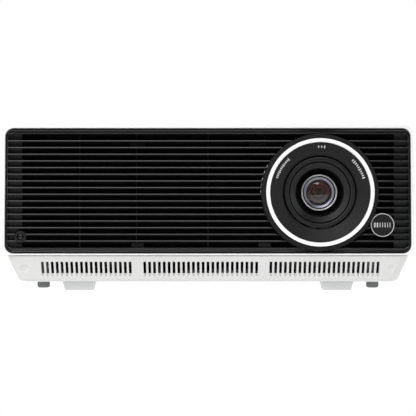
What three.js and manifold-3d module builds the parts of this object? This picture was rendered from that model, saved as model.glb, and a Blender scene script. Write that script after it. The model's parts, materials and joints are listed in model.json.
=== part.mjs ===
// A home projector, built as an assembly of separate pieces.
// Millimetres, +Z up, the lens side faces -Y, origin on the table under the middle of the case.
import * as THREE from "three";
import { mergeVertices } from "three/addons/utils/BufferGeometryUtils.js";
import Module from "manifold-3d";

const wasm = await Module();
wasm.setup();

// ---------------------------------------------------------------- driving dimensions

const GAP = 0.3; // between pieces that touch
const CASE = {
  halfBottom: 185, // half the width at the parting line
  halfTop: 183.8,
  partingZ: 32, // the shell stands on the tray here
  topZ: 149,
  bottomZ: 8,
  corner: 9,
  wall: 2.6,
  frontY: -139, // front edge of the white bezel
  bezelBackY: -127,
  shellBackY: 141.2,
  rearY: 145,
};
const LENS = { x: 100.5, z: 88.5, frontY: -145 };
const PANEL = {
  frontY: -137, // black grille, set back inside the bezel
  backY: -127.4,
  halfBottom: 182.4,
  halfTop: 181.6,
  bottomZ: 33.9,
  topZ: 145.8,
  corner: 7.5,
};
const FILTER = { halfX: 178, bottomZ: 37, topZ: 143, frontY: -126.7, backY: -124.7 };
const LOUVRE = { pitch: 6, count: 17, topZ: 134.8, thickness: 1.7, frontY: -136.4, backY: -130.4 };
const TRAY = {
  topZ: 31.7,
  halfX: 181,
  frontY: -138, // nearly flush with the bezel above it
  backY: 141,
  corner: 9,
  taper: 10.4, // how far the side walls lean in from top to bottom
  frontShare: 0.45, // the front and rear walls lean by this share of it
  foot: 3, // rounding along the bottom edge
  wall: 2.6,
};
const DIMPLE = { x: 164, z: 18.5, radius: 9, standOff: 5.5 }; // its centre is this far off the tray's front
const SLOT = { width: 2.2, pitch: 4.37, bottomZ: 16, topZ: 26, lean: 0.00034 };
const LEG = { x: 117, frontY: -115.5, rearY: 104, halfX: 14.6, halfY: 12, draft: 1.7 };
const FOOT = { x: 150, y: -115, radius: 5.7, bottomZ: 2, studRadius: 2.7, studTopZ: 34 };
const POST = { x: 155, frontY: -92, rearY: 98, radius: 4.5, bottomZ: 24.3 };
const BRACKET = { x: 75, frontY: -70, rearY: 70, faceZ: 7, holeRadius: 1.7 };
const INTAKE_FAN = { x: -95, y: -100, z: 88 };
const EXHAUST_FAN = { x: -160.5, y: 40, z: 88 };
const FAN = { half: 40, depth: 25, bore: 37.5, hub: 15, tip: 36, blades: 7 };
const WHEEL = { x: 6, y: 30, z: 80, radius: 27, thickness: 1.2 };
const BOARD_Z = 38; // underside of the main board
const JOYSTICK = { x: 128, y: 104, pivotZ: 135 };
const PLATE = { bottomZ: 11, topZ: 12.5, halfX: 160, frontY: -108, backY: 126 };

// ---------------------------------------------------------------- materials

function finish(hex, roughness, metalness = 0) {
  return new THREE.MeshStandardMaterial({ color: hex, roughness, metalness });
}

const whiteShell = finish(0xf2f2f0, 0.45);
const greyTray = finish(0xe2e2e0, 0.55);
const legGrey = finish(0xd2d4d4, 0.55);
const blackGloss = finish(0x141415, 0.2);
const blackMatte = finish(0x1c1c1e, 0.6);
const ringBlack = finish(0x242427, 0.45);
const filterFoam = finish(0x101011, 0.95);
const rubberGrey = finish(0x5c5e60, 0.8);
const steel = finish(0xa9abae, 0.35, 1);
const aluminium = finish(0xb9bcc0, 0.4, 1);
const copper = finish(0xb87347, 0.35, 1);
const glass = finish(0x9db4c4, 0.05);
const smokedGlass = finish(0x120c10, 0.08);
const phosphor = finish(0xe3c84a, 0.6);
const board = finish(0x1f5a38, 0.6);
const paperCone = finish(0x2b2b2d, 0.8);
const lightPipe = finish(0xdfe8ee, 0.3);

// ---------------------------------------------------------------- shape helpers

// A closed geometry as a manifold solid that can be joined and cut.
function solid(geometry) {
  const bare = geometry.clone();
  for (const name of Object.keys(bare.attributes)) {
    if (name !== "position") bare.deleteAttribute(name);
  }
  const merged = mergeVertices(bare, 1e-4);
  return new wasm.Manifold(
    new wasm.Mesh({
      numProp: 3,
      vertProperties: merged.attributes.position.array,
      triVerts: new Uint32Array(merged.index.array),
    }),
  );
}

function geometryOf(manifold) {
  const { vertProperties, triVerts } = manifold.getMesh();
  const geometry = new THREE.BufferGeometry();
  geometry.setAttribute("position", new THREE.BufferAttribute(vertProperties, 3));
  geometry.setIndex(new THREE.BufferAttribute(triVerts, 1));
  return geometry;
}

function joined(...solids) {
  return solids.reduce((sum, next) => sum.add(next));
}

function cut(base, ...tools) {
  return tools.reduce((rest, tool) => rest.subtract(tool), base);
}

// A box between two opposite corners.
function block([x0, y0, z0], [x1, y1, z1]) {
  const box = new THREE.BoxGeometry(x1 - x0, y1 - y0, z1 - z0);
  box.translate((x0 + x1) / 2, (y0 + y1) / 2, (z0 + z1) / 2);
  return solid(box);
}

// A round bar from one axial position to another, about the axis "x", "y" or "z".
function bar(axis, radius, from, to, [x, y, z] = [0, 0, 0], sides = 16) {
  const rod = new THREE.CylinderGeometry(radius, radius, to - from, sides);
  rod.translate(0, (from + to) / 2, 0);
  if (axis === "x") rod.rotateZ(-Math.PI / 2);
  if (axis === "z") rod.rotateX(Math.PI / 2);
  rod.translate(x, y, z);
  return solid(rod);
}

// A body turned about the local Y axis from its section of [radius, y] points.
function turned(section, sides = 32) {
  let twiceArea = 0;
  section.forEach(([r, y], i) => {
    const [nextR, nextY] = section[(i + 1) % section.length];
    twiceArea += r * nextY - nextR * y;
  });
  const points = section.map(([r, y]) => new THREE.Vector2(r, y));
  if (twiceArea < 0) points.reverse();
  if (section.every(([r]) => r > 0)) points.push(points[0].clone());
  return solid(new THREE.LatheGeometry(points, sides));
}

// An outline through corners given as [x, y, radius], anticlockwise, each corner rounded.
function outline(corners) {
  const shape = new THREE.Shape();
  corners.forEach(([x, y, radius], i) => {
    const corner = new THREE.Vector2(x, y);
    const before = new THREE.Vector2(...corners.at(i - 1)).sub(corner).normalize();
    const after = new THREE.Vector2(...corners[(i + 1) % corners.length]).sub(corner).normalize();
    const half = Math.acos(before.dot(after)) / 2;
    const reach = radius / Math.tan(half);
    const middle = before.clone().add(after).normalize();
    const centre = corner.clone().addScaledVector(middle, radius / Math.sin(half));
    const start = corner.clone().addScaledVector(before, reach).sub(centre);
    const end = corner.clone().addScaledVector(after, reach).sub(centre);
    shape.absarc(centre.x, centre.y, radius, start.angle(), end.angle(), false);
  });
  return shape;
}

// A shape drawn in X and Z, made solid from y0 to y1.
function prismAlongY(shape, y0, y1, curveSegments = 2) {
  const prism = new THREE.ExtrudeGeometry(shape, {
    depth: y1 - y0,
    bevelEnabled: false,
    curveSegments,
  });
  prism.rotateX(Math.PI / 2);
  prism.translate(0, y1, 0);
  return solid(prism);
}

// A rounded rectangle lofted through levels of [z, inset in x, inset in y (as in x if left out)].
function lofted(halfX, y0, y1, corner, levels) {
  const halfY = (y1 - y0) / 2;
  const shape = outline([
    [-halfX, -halfY, corner],
    [halfX, -halfY, corner],
    [halfX, halfY, corner],
    [-halfX, halfY, corner],
  ]);
  const steps = levels.length - 1;
  const loft = new THREE.ExtrudeGeometry(shape, {
    depth: steps,
    steps,
    bevelEnabled: false,
    curveSegments: 2,
  });
  const position = loft.getAttribute("position");
  for (let i = 0; i < position.count; i += 1) {
    const [z, insetX, insetY = insetX] = levels[Math.round(position.getZ(i))];
    const x = position.getX(i) * (1 - insetX / halfX);
    const y = position.getY(i) * (1 - insetY / halfY) + (y0 + y1) / 2;
    position.setXYZ(i, x, y, z);
  }
  return solid(loft);
}

// Upright fins on a base, drawn across "width" and made solid over "length".
function finned(width, height, base, count, thickness, length) {
  const pitch = (width - thickness) / (count - 1);
  const comb = new THREE.Shape();
  comb.moveTo(-width / 2, 0);
  comb.lineTo(width / 2, 0);
  for (let fin = count - 1; fin >= 0; fin -= 1) {
    const left = -width / 2 + fin * pitch;
    comb.lineTo(left + thickness, fin === count - 1 ? 0 : base);
    comb.lineTo(left + thickness, height);
    comb.lineTo(left, height);
    if (fin > 0) comb.lineTo(left, base);
  }
  return new THREE.ExtrudeGeometry(comb, { depth: length, bevelEnabled: false });
}

function part(name, body, material, position = [0, 0, 0], rotation = [0, 0, 0]) {
  const geometry = body.isBufferGeometry ? body : geometryOf(body);
  const mesh = new THREE.Mesh(geometry, material);
  mesh.name = name;
  mesh.position.set(...position);
  mesh.rotation.set(...rotation);
  return mesh;
}

function assembly(position, ...pieces) {
  const group = new THREE.Group();
  group.position.set(...position);
  group.add(...pieces);
  return group;
}

// The case's front outline, moved inwards by "inset".
function caseOutline(inset) {
  const bottom = CASE.halfBottom - inset;
  const top = CASE.halfTop - inset;
  const low = CASE.partingZ + inset;
  const high = CASE.topZ - inset;
  const radius = Math.max(CASE.corner - inset, 2);
  return outline([
    [-bottom, low, radius],
    [bottom, low, radius],
    [top, high, radius],
    [-top, high, radius],
  ]);
}

function panelOutline(margin) {
  const bottom = PANEL.halfBottom + margin;
  const top = PANEL.halfTop + margin;
  const low = PANEL.bottomZ - margin;
  const high = PANEL.topZ + margin;
  const radius = PANEL.corner + margin;
  return outline([
    [-bottom, low, radius],
    [bottom, low, radius],
    [top, high, radius],
    [-top, high, radius],
  ]);
}

const postPlaces = [
  [-POST.x, POST.frontY],
  [POST.x, POST.frontY],
  [-POST.x, POST.rearY],
  [POST.x, POST.rearY],
];

// Four pads with tapped holes take a ceiling bracket.
const bracketPlaces = [-BRACKET.x, BRACKET.x].flatMap((x) => [
  [x, BRACKET.frontY],
  [x, BRACKET.rearY],
]);

// ---------------------------------------------------------------- case

function frontBezel() {
  const outer = prismAlongY(caseOutline(0), CASE.frontY, CASE.bezelBackY);
  const window = prismAlongY(panelOutline(GAP), CASE.frontY - 1, CASE.bezelBackY + 1);
  return part("front_bezel", cut(outer, window), whiteShell);
}

// The side vents are upright slots, the same on the left and right walls.
function sideVents() {
  const vent = { count: 12, pitch: 6, width: 3, z0: 64, z1: 112, middleY: 40 };
  const slots = [];
  for (let i = 0; i < vent.count; i += 1) {
    const y = vent.middleY + (i - (vent.count - 1) / 2) * vent.pitch;
    const low = [-CASE.halfBottom - 2, y - vent.width / 2, vent.z0];
    const high = [CASE.halfBottom + 2, y + vent.width / 2, vent.z1];
    slots.push(block(low, high));
  }
  return slots;
}

function upperCover() {
  const y0 = CASE.bezelBackY + GAP;
  const y1 = CASE.shellBackY - GAP;
  const outer = prismAlongY(caseOutline(0), y0, y1);
  const hollow = prismAlongY(caseOutline(CASE.wall), y0 - 1, y1 + 1);
  const openHalf = CASE.halfBottom - CASE.corner;
  const opening = block([-openHalf, y0 - 1, CASE.partingZ - 1], [openHalf, y1 + 1, CASE.partingZ + 8]);
  let shell = cut(outer, hollow, ...sideVents(), opening);
  for (const [x, y] of postPlaces) {
    const post = bar("z", POST.radius, POST.bottomZ, CASE.topZ - 1, [x, y, 0], 12);
    const screwHole = bar("z", 1.8, POST.bottomZ - 1, POST.bottomZ + 14, [x, y, 0], 8);
    shell = cut(joined(shell, post), screwHole);
  }
  const { x, y } = JOYSTICK;
  const joystickHole = bar("z", 16.3, CASE.topZ - 6, CASE.topZ + 1, [x, y, 0], 24);
  const lightSlot = block([x - 8.3, y - 32.8, CASE.topZ - 6], [x + 8.3, y - 29.2, CASE.topZ + 1]);
  return part("upper_cover", cut(shell, joystickHole, lightSlot), whiteShell);
}

// Tray levels from the bottom up, each with the insets of the side and end walls at that height.
function trayLevels() {
  const height = TRAY.topZ - CASE.bottomZ;
  const arc = [90, 45, 0].map((degrees) => {
    const angle = THREE.MathUtils.degToRad(degrees);
    const z = CASE.bottomZ + TRAY.foot * (1 - Math.sin(angle));
    const lean = (TRAY.taper * (TRAY.topZ - z)) / height;
    const roll = TRAY.foot * (1 - Math.cos(angle));
    return [z, lean + roll, lean * TRAY.frontShare + roll];
  });
  return [...arc, [TRAY.topZ, 0, 0]];
}

// The three runs of upright slots across the tray's front, as [first x, count].
const slotRuns = [
  [-148.6, 19],
  [-56.8, 24],
  [56.5, 23],
];

function traySlots() {
  const leanPerMm = (TRAY.taper * TRAY.frontShare) / (TRAY.topZ - CASE.bottomZ);
  const slope = Math.atan(leanPerMm);
  const middleZ = (SLOT.bottomZ + SLOT.topZ) / 2;
  const wallY = TRAY.frontY + leanPerMm * (TRAY.topZ - middleZ);
  const length = (SLOT.topZ - SLOT.bottomZ) / Math.cos(slope);
  const slots = [];
  for (const [firstX, count] of slotRuns) {
    for (let i = 0; i < count; i += 1) {
      const x = firstX + i * SLOT.pitch;
      const slot = new THREE.BoxGeometry(SLOT.width, 12, length);
      slot.rotateY(Math.atan(SLOT.lean * x));
      slot.rotateX(slope);
      slot.translate(x, wallY, middleZ);
      slots.push(solid(slot));
    }
  }
  return slots;
}

function lowerCase() {
  const { halfX, frontY, backY, corner, wall } = TRAY;
  const outer = lofted(halfX, frontY, backY, corner, trayLevels());
  const lean = TRAY.taper - 1;
  const hollow = lofted(halfX, frontY, backY, corner, [
    [CASE.bottomZ + wall, wall + lean, wall + lean * TRAY.frontShare],
    [TRAY.topZ + 1, wall],
  ]);
  let tray = cut(outer, hollow, ...traySlots());
  const floorZ = CASE.bottomZ + 1;
  for (const [x, y] of postPlaces) {
    const boss = bar("z", 6, floorZ, POST.bottomZ - GAP, [x, y, 0], 12);
    const counterbore = bar("z", 4, CASE.bottomZ - 1, 16, [x, y, 0], 12);
    const screwHole = bar("z", 1.9, 10, POST.bottomZ + 1, [x, y, 0], 8);
    tray = cut(joined(tray, boss), counterbore, screwHole);
  }
  for (const x of [-FOOT.x, FOOT.x]) {
    const boss = bar("z", 6, floorZ, 26, [x, FOOT.y, 0], 16);
    const thread = bar("z", FOOT.studRadius + GAP, CASE.bottomZ - 1, 27, [x, FOOT.y, 0]);
    tray = cut(joined(tray, boss), thread);
  }
  for (const [x, y] of bracketPlaces) {
    const pad = bar("z", 7, BRACKET.faceZ, floorZ, [x, y, 0]);
    const hole = bar("z", BRACKET.holeRadius, BRACKET.faceZ - 1, CASE.bottomZ + wall + 1, [x, y, 0], 12);
    tray = cut(joined(tray, pad), hole);
  }
  // A shallow dimple in each front corner.
  for (const x of [-DIMPLE.x, DIMPLE.x]) {
    const dimple = new THREE.SphereGeometry(DIMPLE.radius, 12, 8);
    dimple.translate(x, frontY - DIMPLE.standOff, DIMPLE.z);
    tray = tray.subtract(solid(dimple));
  }
  return part("lower_case", tray, greyTray);
}

function rearCover() {
  const y0 = CASE.shellBackY;
  const y1 = CASE.rearY;
  const plate = prismAlongY(caseOutline(0), y0, y1);
  const portWindow = block([-64, y0 - 1, 36], [120, y1 + 1, 70]);
  const inletWindow = block([-116.3, y0 - 1, 39.7], [-83.7, y1 + 1, 66.3]);
  const vents = [];
  for (let row = 0; row < 6; row += 1) {
    const z = 84 + row * 7;
    vents.push(block([-60, y0 - 1, z], [70, y1 + 1, z + 2.6]));
    for (const x of [-148, 148]) {
      const reach = 18 * Math.cos((row - 2.5) * 0.42);
      vents.push(block([x - reach, y0 - 1, z - 6], [x + reach, y1 + 1, z - 3.4]));
    }
  }
  const lockSlot = block([150, y0 - 1, 44], [157, y1 + 1, 47]);
  return part("rear_cover", cut(plate, portWindow, inletWindow, lockSlot, ...vents), whiteShell);
}

// Two wide front legs and two rear legs, each a block with drafted sides.
function legs() {
  const places = [
    ["front_leg_left", -LEG.x, LEG.frontY],
    ["front_leg_right", LEG.x, LEG.frontY],
    ["rear_leg_left", -LEG.x, LEG.rearY],
    ["rear_leg_right", LEG.x, LEG.rearY],
  ];
  return places.map(([name, x, y]) => {
    const levels = [
      [0, LEG.draft],
      [CASE.bottomZ - GAP, 0],
    ];
    return part(name, lofted(LEG.halfX, -LEG.halfY, LEG.halfY, 2, levels), legGrey, [x, y, 0]);
  });
}

// The screw feet: a knurled knob on a threaded stud that runs up into the tray's boss.
function frontFeet() {
  const top = CASE.bottomZ - GAP;
  const knob = turned(
    [
      [0, FOOT.bottomZ],
      [FOOT.radius - 1, FOOT.bottomZ],
      [FOOT.radius, FOOT.bottomZ + 1],
      [FOOT.radius, top],
      [FOOT.studRadius + GAP, top],
      [FOOT.studRadius + GAP, FOOT.bottomZ + 1.7],
      [0, FOOT.bottomZ + 1.7],
    ],
    16,
  );
  const stud = turned(
    [
      [0, FOOT.bottomZ + 2],
      [FOOT.studRadius, FOOT.bottomZ + 2],
      [FOOT.studRadius, FOOT.studTopZ - 0.8],
      [FOOT.studRadius - 0.8, FOOT.studTopZ],
      [0, FOOT.studTopZ],
    ],
    12,
  );
  const upright = [Math.PI / 2, 0, 0];
  return ["left", "right"].flatMap((side) => {
    const place = [side === "left" ? -FOOT.x : FOOT.x, FOOT.y, 0];
    return [
      part(`front_foot_${side}`, knob, rubberGrey, place, upright),
      part(`front_foot_stud_${side}`, stud, steel, place, upright),
    ];
  });
}

function caseScrews() {
  const screw = turned(
    [
      [0, 12.6],
      [2.6, 12.6],
      [3.5, 13.4],
      [3.5, 15.6],
      [1.5, 15.6],
      [1.5, 36],
      [0, 37],
    ],
    10,
  );
  return postPlaces.map(([x, y], i) =>
    part(`case_screw_${i + 1}`, screw, steel, [x, y, 0], [Math.PI / 2, 0, 0]),
  );
}

// ---------------------------------------------------------------- front panel

const EMBLEM = { x: 156.8, z: 59.2, radius: 10.7 };
const RECEIVER = { x: -168.7, z: 48.5, radius: 5 };

function frontGrille() {
  const { frontY, backY } = PANEL;
  const border = 4.6;
  const side = 2;
  const frame = prismAlongY(panelOutline(0), frontY, backY);
  const windowTop = LOUVRE.topZ + LOUVRE.pitch;
  const window = outline([
    [-PANEL.halfBottom + side, LOUVRE.topZ - LOUVRE.pitch * (LOUVRE.count - 1), 3],
    [PANEL.halfBottom - side, LOUVRE.topZ - LOUVRE.pitch * (LOUVRE.count - 1), 3],
    [PANEL.halfTop - side, Math.min(windowTop, PANEL.topZ - border), 3],
    [-PANEL.halfTop + side, Math.min(windowTop, PANEL.topZ - border), 3],
  ]);
  let grille = frame.subtract(prismAlongY(window, frontY - 1, backY + 1));
  for (let i = 0; i < LOUVRE.count - 1; i += 1) {
    const z = LOUVRE.topZ - i * LOUVRE.pitch;
    const low = [-PANEL.halfBottom + 1, LOUVRE.frontY, z - LOUVRE.thickness / 2];
    const high = [PANEL.halfBottom - 1, LOUVRE.backY, z + LOUVRE.thickness / 2];
    grille = grille.add(block(low, high));
  }
  // Upright ribs stiffen the frame just behind the louvres, and a web closes each end.
  const ribY = LOUVRE.backY + GAP;
  const lowZ = PANEL.bottomZ + 2;
  const highZ = PANEL.topZ - 2;
  for (const x of [-115.6, -64.5, 0]) {
    grille = grille.add(block([x - 0.7, ribY, lowZ], [x + 0.7, backY, highZ]));
  }
  for (const side of [-1, 1]) {
    const inner = side * 167;
    const outer = side * (PANEL.halfTop - 1);
    const low = [Math.min(inner, outer), ribY, lowZ];
    const high = [Math.max(inner, outer), backY, highZ];
    grille = grille.add(block(low, high));
  }
  const receiverAxis = [RECEIVER.x, 0, RECEIVER.z];
  grille = joined(grille, bar("y", RECEIVER.radius + 2.3, -134, backY, receiverAxis)).intersect(frame);
  const lensHole = bar("y", 52.8, frontY - 1, backY + 1, [LENS.x, 0, LENS.z], 32);
  const emblemSeat = bar("y", EMBLEM.radius + GAP, frontY - 1, -133.6, [EMBLEM.x, 0, EMBLEM.z], 24);
  const receiverHole = bar("y", RECEIVER.radius + GAP, frontY - 1, backY + 1, receiverAxis, 20);
  return part("front_grille", cut(grille, lensHole, emblemSeat, receiverHole), blackGloss);
}

function receiverAndEmblem() {
  const { radius } = RECEIVER;
  const bezel = turned(
    [
      [radius, -136.9],
      [radius, -127],
      [3.2, -127],
      [3.2, -136.9],
    ],
    20,
  );
  const window = turned(
    [
      [0, -136.2],
      [2.9, -136.2],
      [2.9, -128],
      [0, -128],
    ],
    16,
  );
  const disc = turned(
    [
      [0, -137.2],
      [EMBLEM.radius, -137.2],
      [EMBLEM.radius, -133.9],
      [0, -133.9],
    ],
    24,
  );
  return [
    part("ir_receiver_bezel", bezel, ringBlack, [RECEIVER.x, 0, RECEIVER.z]),
    part("ir_receiver_window", window, smokedGlass, [RECEIVER.x, 0, RECEIVER.z]),
    part("grille_emblem", disc, ringBlack, [EMBLEM.x, 0, EMBLEM.z]),
  ];
}

// A foam sheet behind the grille, with a hole round the lens surround.
function dustFilter() {
  const { halfX, bottomZ, topZ, frontY, backY } = FILTER;
  const sheet = outline([
    [-halfX, bottomZ, 4],
    [halfX, bottomZ, 4],
    [halfX, topZ, 4],
    [-halfX, topZ, 4],
  ]);
  const lensHole = bar("y", 53, frontY - 1, backY + 1, [LENS.x, 0, LENS.z], 32);
  return part("dust_filter", cut(prismAlongY(sheet, frontY, backY), lensHole), filterFoam);
}

// ---------------------------------------------------------------- projection lens

function lensAssembly() {
  const surround = turned(
    [
      [48.7, -139.5],
      [52.5, -139.5],
      [52.5, -122],
      [42, -122],
      [42, -131.7],
      [48.7, -131.7],
    ],
  );
  const trim = turned(
    [
      [44.9, -144.2],
      [45.7, LENS.frontY],
      [47.6, LENS.frontY],
      [48.4, -144.2],
      [48.4, -132],
      [44.9, -132],
    ],
  );
  const dish = turned(
    [
      [44.6, -143],
      [44.6, -132],
      [42.5, -132],
      [42.5, -139.6],
      [34.8, -135.6],
      [34.8, -128],
      [32.8, -128],
      [32.8, -137],
      [43.4, -142.6],
    ],
  );
  const focusRing = turned(
    [
      [27.7, -137.4],
      [28.8, -138.5],
      [30.8, -138.5],
      [31.9, -137.4],
      [31.9, -118],
      [27.7, -118],
    ],
  );
  const zoomRing = turned(
    [
      [21.8, -132.6],
      [26.6, -136.5],
      [27.3, -135.8],
      [27.3, -108],
      [21.8, -108],
    ],
  );
  const barrel = turned(
    [
      [16.6, -127],
      [21.4, -127],
      [21.4, -62],
      [32, -62],
      [32, -54.3],
      [16.6, -54.3],
    ],
    32,
  );
  const frontCell = turned(
    [
      [14, -128.5],
      [16.3, -129.6],
      [16.3, -108],
      [13, -108],
      [13, -117],
      [14, -117],
    ],
    24,
  );
  const zoomCell = turned(
    [
      [12.6, -96],
      [16.3, -96],
      [16.3, -80],
      [12.6, -80],
    ],
    24,
  );
  return assembly(
    [LENS.x, 0, LENS.z],
    part("lens_surround", surround, blackMatte),
    part("lens_trim_ring", trim, whiteShell),
    part("lens_dish", dish, blackMatte),
    part("focus_ring", focusRing, ringBlack),
    part("zoom_ring", zoomRing, ringBlack),
    part("lens_barrel", barrel, blackMatte),
    part("front_lens_cell", frontCell, aluminium),
    part("front_lens_glass", element(13.7, -117.3, 4, 0, 3), glass),
    part("zoom_lens_cell", zoomCell, blackMatte),
    part("zoom_lens_glass", element(12.3, -88, 3, 3, 3), glass),
    part("rear_lens_glass", element(16.2, -66, 3, 3, 4), glass),
  );
}

// A lens element: two spherical caps of the given heights on a rim, its rim ending at backY.
function element(radius, backY, frontRise, backRise, rim) {
  const steps = 2;
  const section = [[0, backY - rim - frontRise]];
  for (let i = 1; i <= steps; i += 1) {
    const t = i / steps;
    section.push([radius * t, backY - rim - frontRise * (1 - t * t)]);
  }
  for (let i = steps; i >= 0; i -= 1) {
    const t = i / steps;
    section.push([radius * t, backY + backRise * (1 - t * t)]);
  }
  return turned(section, 24);
}

// ---------------------------------------------------------------- light engine and cooling

function basePlate() {
  const { halfX, frontY, backY, bottomZ, topZ } = PLATE;
  let plate = block([-halfX, frontY, bottomZ], [halfX, backY, topZ]);
  const boardPosts = [-58, 114].flatMap((x) => [82, 122].map((y) => [x, y, BOARD_Z - GAP]));
  const supplyPosts = [-138, -46].flatMap((x) => [-68, -18].map((y) => [x, y, 18 - GAP]));
  for (const [x, y, top] of [...boardPosts, ...supplyPosts]) {
    plate = plate.add(bar("z", 3, bottomZ + 0.5, top, [x, y, 0], 8));
  }
  for (const [x, y] of postPlaces) {
    plate = plate.subtract(bar("z", 8, bottomZ - 1, topZ + 1, [x, y, 0], 12));
  }
  return part("base_plate", plate, steel);
}

function lightEngine() {
  const engine = joined(
    block([-38, -54, -38], [38, 52, 38]),
    block([-82, 38, -18], [-37, 52, 2]),
    block([-30, -36, 12.8 - LENS.z], [30, -28, -37]),
    block([-30, 28, 12.8 - LENS.z], [30, 36, -37]),
  );
  const lightPath = bar("y", 13, -55, 48, [0, 0, 0], 24);
  const entry = bar("x", 5.5, -83, 0, [0, 45, -8]);
  return assembly(
    [LENS.x, 0, LENS.z],
    part("light_engine_housing", cut(engine, lightPath, entry), aluminium),
    part(
      "dmd_heat_sink",
      finned(52, 20, 4, 9, 1.6, 52),
      aluminium,
      [0, 52 + GAP, 26],
      [0, Math.PI, 0],
    ),
  );
}

function laserAndSink() {
  const module = joined(
    block([-60, 10, 50], [-22, 70, 92]),
    bar("x", 6, -23, -15, [0, 46, 80.5]),
    block([-66, 22, 58], [-59, 58, 86]),
  );
  let pipes = block([-62, 8, 38], [-20, 72, 49.7]);
  pipes = joined(
    pipes,
    block([-57, 12, PLATE.topZ + GAP], [-53, 68, 39]),
    block([-29, 12, PLATE.topZ + GAP], [-25, 68, 39]),
  );
  for (const y of [20, 40, 60]) {
    pipes = pipes.add(bar("x", 3, -138, -61, [0, y, 44.6], 8));
  }
  const sink = part(
    "laser_heat_sink",
    finned(72, 74, 4, 15, 1.2, 66),
    aluminium,
    [-140, 40, 48.2],
    [Math.PI / 2, Math.PI / 2, 0],
  );
  return [
    part("laser_module", module, blackMatte),
    part("heat_pipes", pipes, copper),
    sink,
  ];
}

function phosphorWheel() {
  const { x, y, z, radius, thickness } = WHEEL;
  const wheel = turned(
    [
      [0, 0],
      [radius, 0],
      [radius, thickness],
      [9, thickness],
      [9, 4],
      [0, 4],
    ],
    32,
  );
  const motor = joined(
    bar("x", 11, -14, -GAP),
    block([-11, -5, PLATE.topZ + GAP - z], [-6, 5, -8]),
    block([-16, -14, PLATE.topZ + GAP - z], [-2, 14, PLATE.topZ + 3 - z]),
  );
  return assembly(
    [x, y, z],
    part("phosphor_wheel", wheel, phosphor, [0, 0, 0], [0, 0, -Math.PI / 2]),
    part("wheel_motor", motor, blackMatte),
  );
}

// An axial fan about the local Y axis: a square frame with struts behind a bladed rotor.
function fanFrame() {
  const { half, depth, bore, hub } = FAN;
  let frame = cut(
    block([-half, 0, -half], [half, depth, half]),
    bar("y", bore, -1, depth + 1, [0, 0, 0], 28),
  );
  frame = frame.add(bar("y", hub, depth - 3, depth));
  for (let i = 0; i < 4; i += 1) {
    const strut = new THREE.BoxGeometry(3, 3, bore + 1);
    strut.translate(0, depth - 1.5, (bore + 1) / 2);
    strut.rotateY((i * Math.PI) / 2 + Math.PI / 4);
    frame = frame.add(solid(strut));
  }
  return frame;
}

function fanRotor() {
  const { depth, hub, tip, blades } = FAN;
  let rotor = bar("y", hub, 2, depth - 4);
  for (let i = 0; i < blades; i += 1) {
    const blade = new THREE.BoxGeometry(20, 1.6, tip - hub + 2);
    blade.rotateZ(THREE.MathUtils.degToRad(38));
    blade.translate(0, (depth - 2) / 2, (tip + hub - 2) / 2);
    blade.rotateY((i * 2 * Math.PI) / blades);
    rotor = rotor.add(solid(blade));
  }
  return rotor.intersect(bar("y", tip, 1.5, depth - 3.5, [0, 0, 0], 21));
}

// Each fan's frame stands on the base plate on two feet.
function fans() {
  const footZ = PLATE.topZ + GAP - INTAKE_FAN.z;
  const feet = [-1, 1].map((side) => {
    const x = side * 30;
    return block([x - 6, 6, footZ], [x + 6, 14, -FAN.half + 1]);
  });
  const frame = joined(fanFrame(), ...feet);
  const rotor = fanRotor();
  const intake = assembly(
    [INTAKE_FAN.x, INTAKE_FAN.y - FAN.depth / 2, INTAKE_FAN.z],
    part("intake_fan_frame", frame, blackMatte),
    part("intake_fan_rotor", rotor, ringBlack),
  );
  const exhaust = assembly(
    [EXHAUST_FAN.x + FAN.depth / 2, EXHAUST_FAN.y, EXHAUST_FAN.z],
    part("exhaust_fan_frame", frame, blackMatte),
    part("exhaust_fan_rotor", rotor, ringBlack),
  );
  exhaust.rotation.z = Math.PI / 2;
  return [intake, exhaust];
}

// ---------------------------------------------------------------- electronics

function powerSupply() {
  const z = 18;
  const bodies = [
    block([-142, -72, z], [-42, -14, z + 1.6]),
    block([-96, -66, z + 1], [-66, -38, z + 26]),
    block([-58, -68, z + 1], [-48, -20, z + 22]),
    block([-138, -34, z + 1], [-104, -20, z + 18]),
    ...[-60, -44].map((y) => bar("z", 7, z + 1, z + 25, [-128, y, 0], 12)),
    bar("z", 5, z + 1, z + 18, [-110, -60, 0], 12),
  ];
  return part("power_supply_board", joined(...bodies), board);
}

const PORTS = { backY: 120, mouthY: 144.2, floorZ: BOARD_Z + 1.6 + GAP };

function mainBoard() {
  const z = BOARD_Z;
  const bodies = [
    block([-62, 76, z], [118, 138, z + 1.6]),
    block([10, 82, z + 1], [44, 114, z + 8]),
    block([60, 84, z + 1], [78, 100, z + 4]),
    block([-40, 84, z + 1], [-20, 104, z + 4]),
    block([92, 80, z + 1], [110, 86, z + 12]),
    block([-56, 80, z + 1], [-50, 108, z + 9]),
  ];
  return part("main_board", joined(...bodies), board);
}

// A socket block with a rectangular mouth facing +Y and, if asked, a contact tongue inside.
function socket(width, height, mouthWidth, mouthHeight, tongue) {
  const { backY, mouthY } = PORTS;
  const wallZ = (height - mouthHeight) / 2;
  const shell = cut(
    block([-width / 2, backY, 0], [width / 2, mouthY, height]),
    block([-mouthWidth / 2, mouthY - 14, wallZ], [mouthWidth / 2, mouthY + 1, height - wallZ]),
  );
  if (!tongue) return shell;
  const [halfWidth, low, high] = tongue;
  return shell.add(block([-halfWidth, mouthY - 15, low], [halfWidth, mouthY - 6, high]));
}

const portPlaces = [
  { name: "hdmi_port_1", x: -44, width: 16.4, height: 7.4 },
  { name: "hdmi_port_2", x: -18, width: 16.4, height: 7.4 },
  { name: "usb_port", x: 8, width: 15, height: 7.6 },
  { name: "network_port", x: 36, width: 17, height: 14 },
  { name: "audio_jack", x: 62, width: 12, height: 11 },
];

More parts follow.
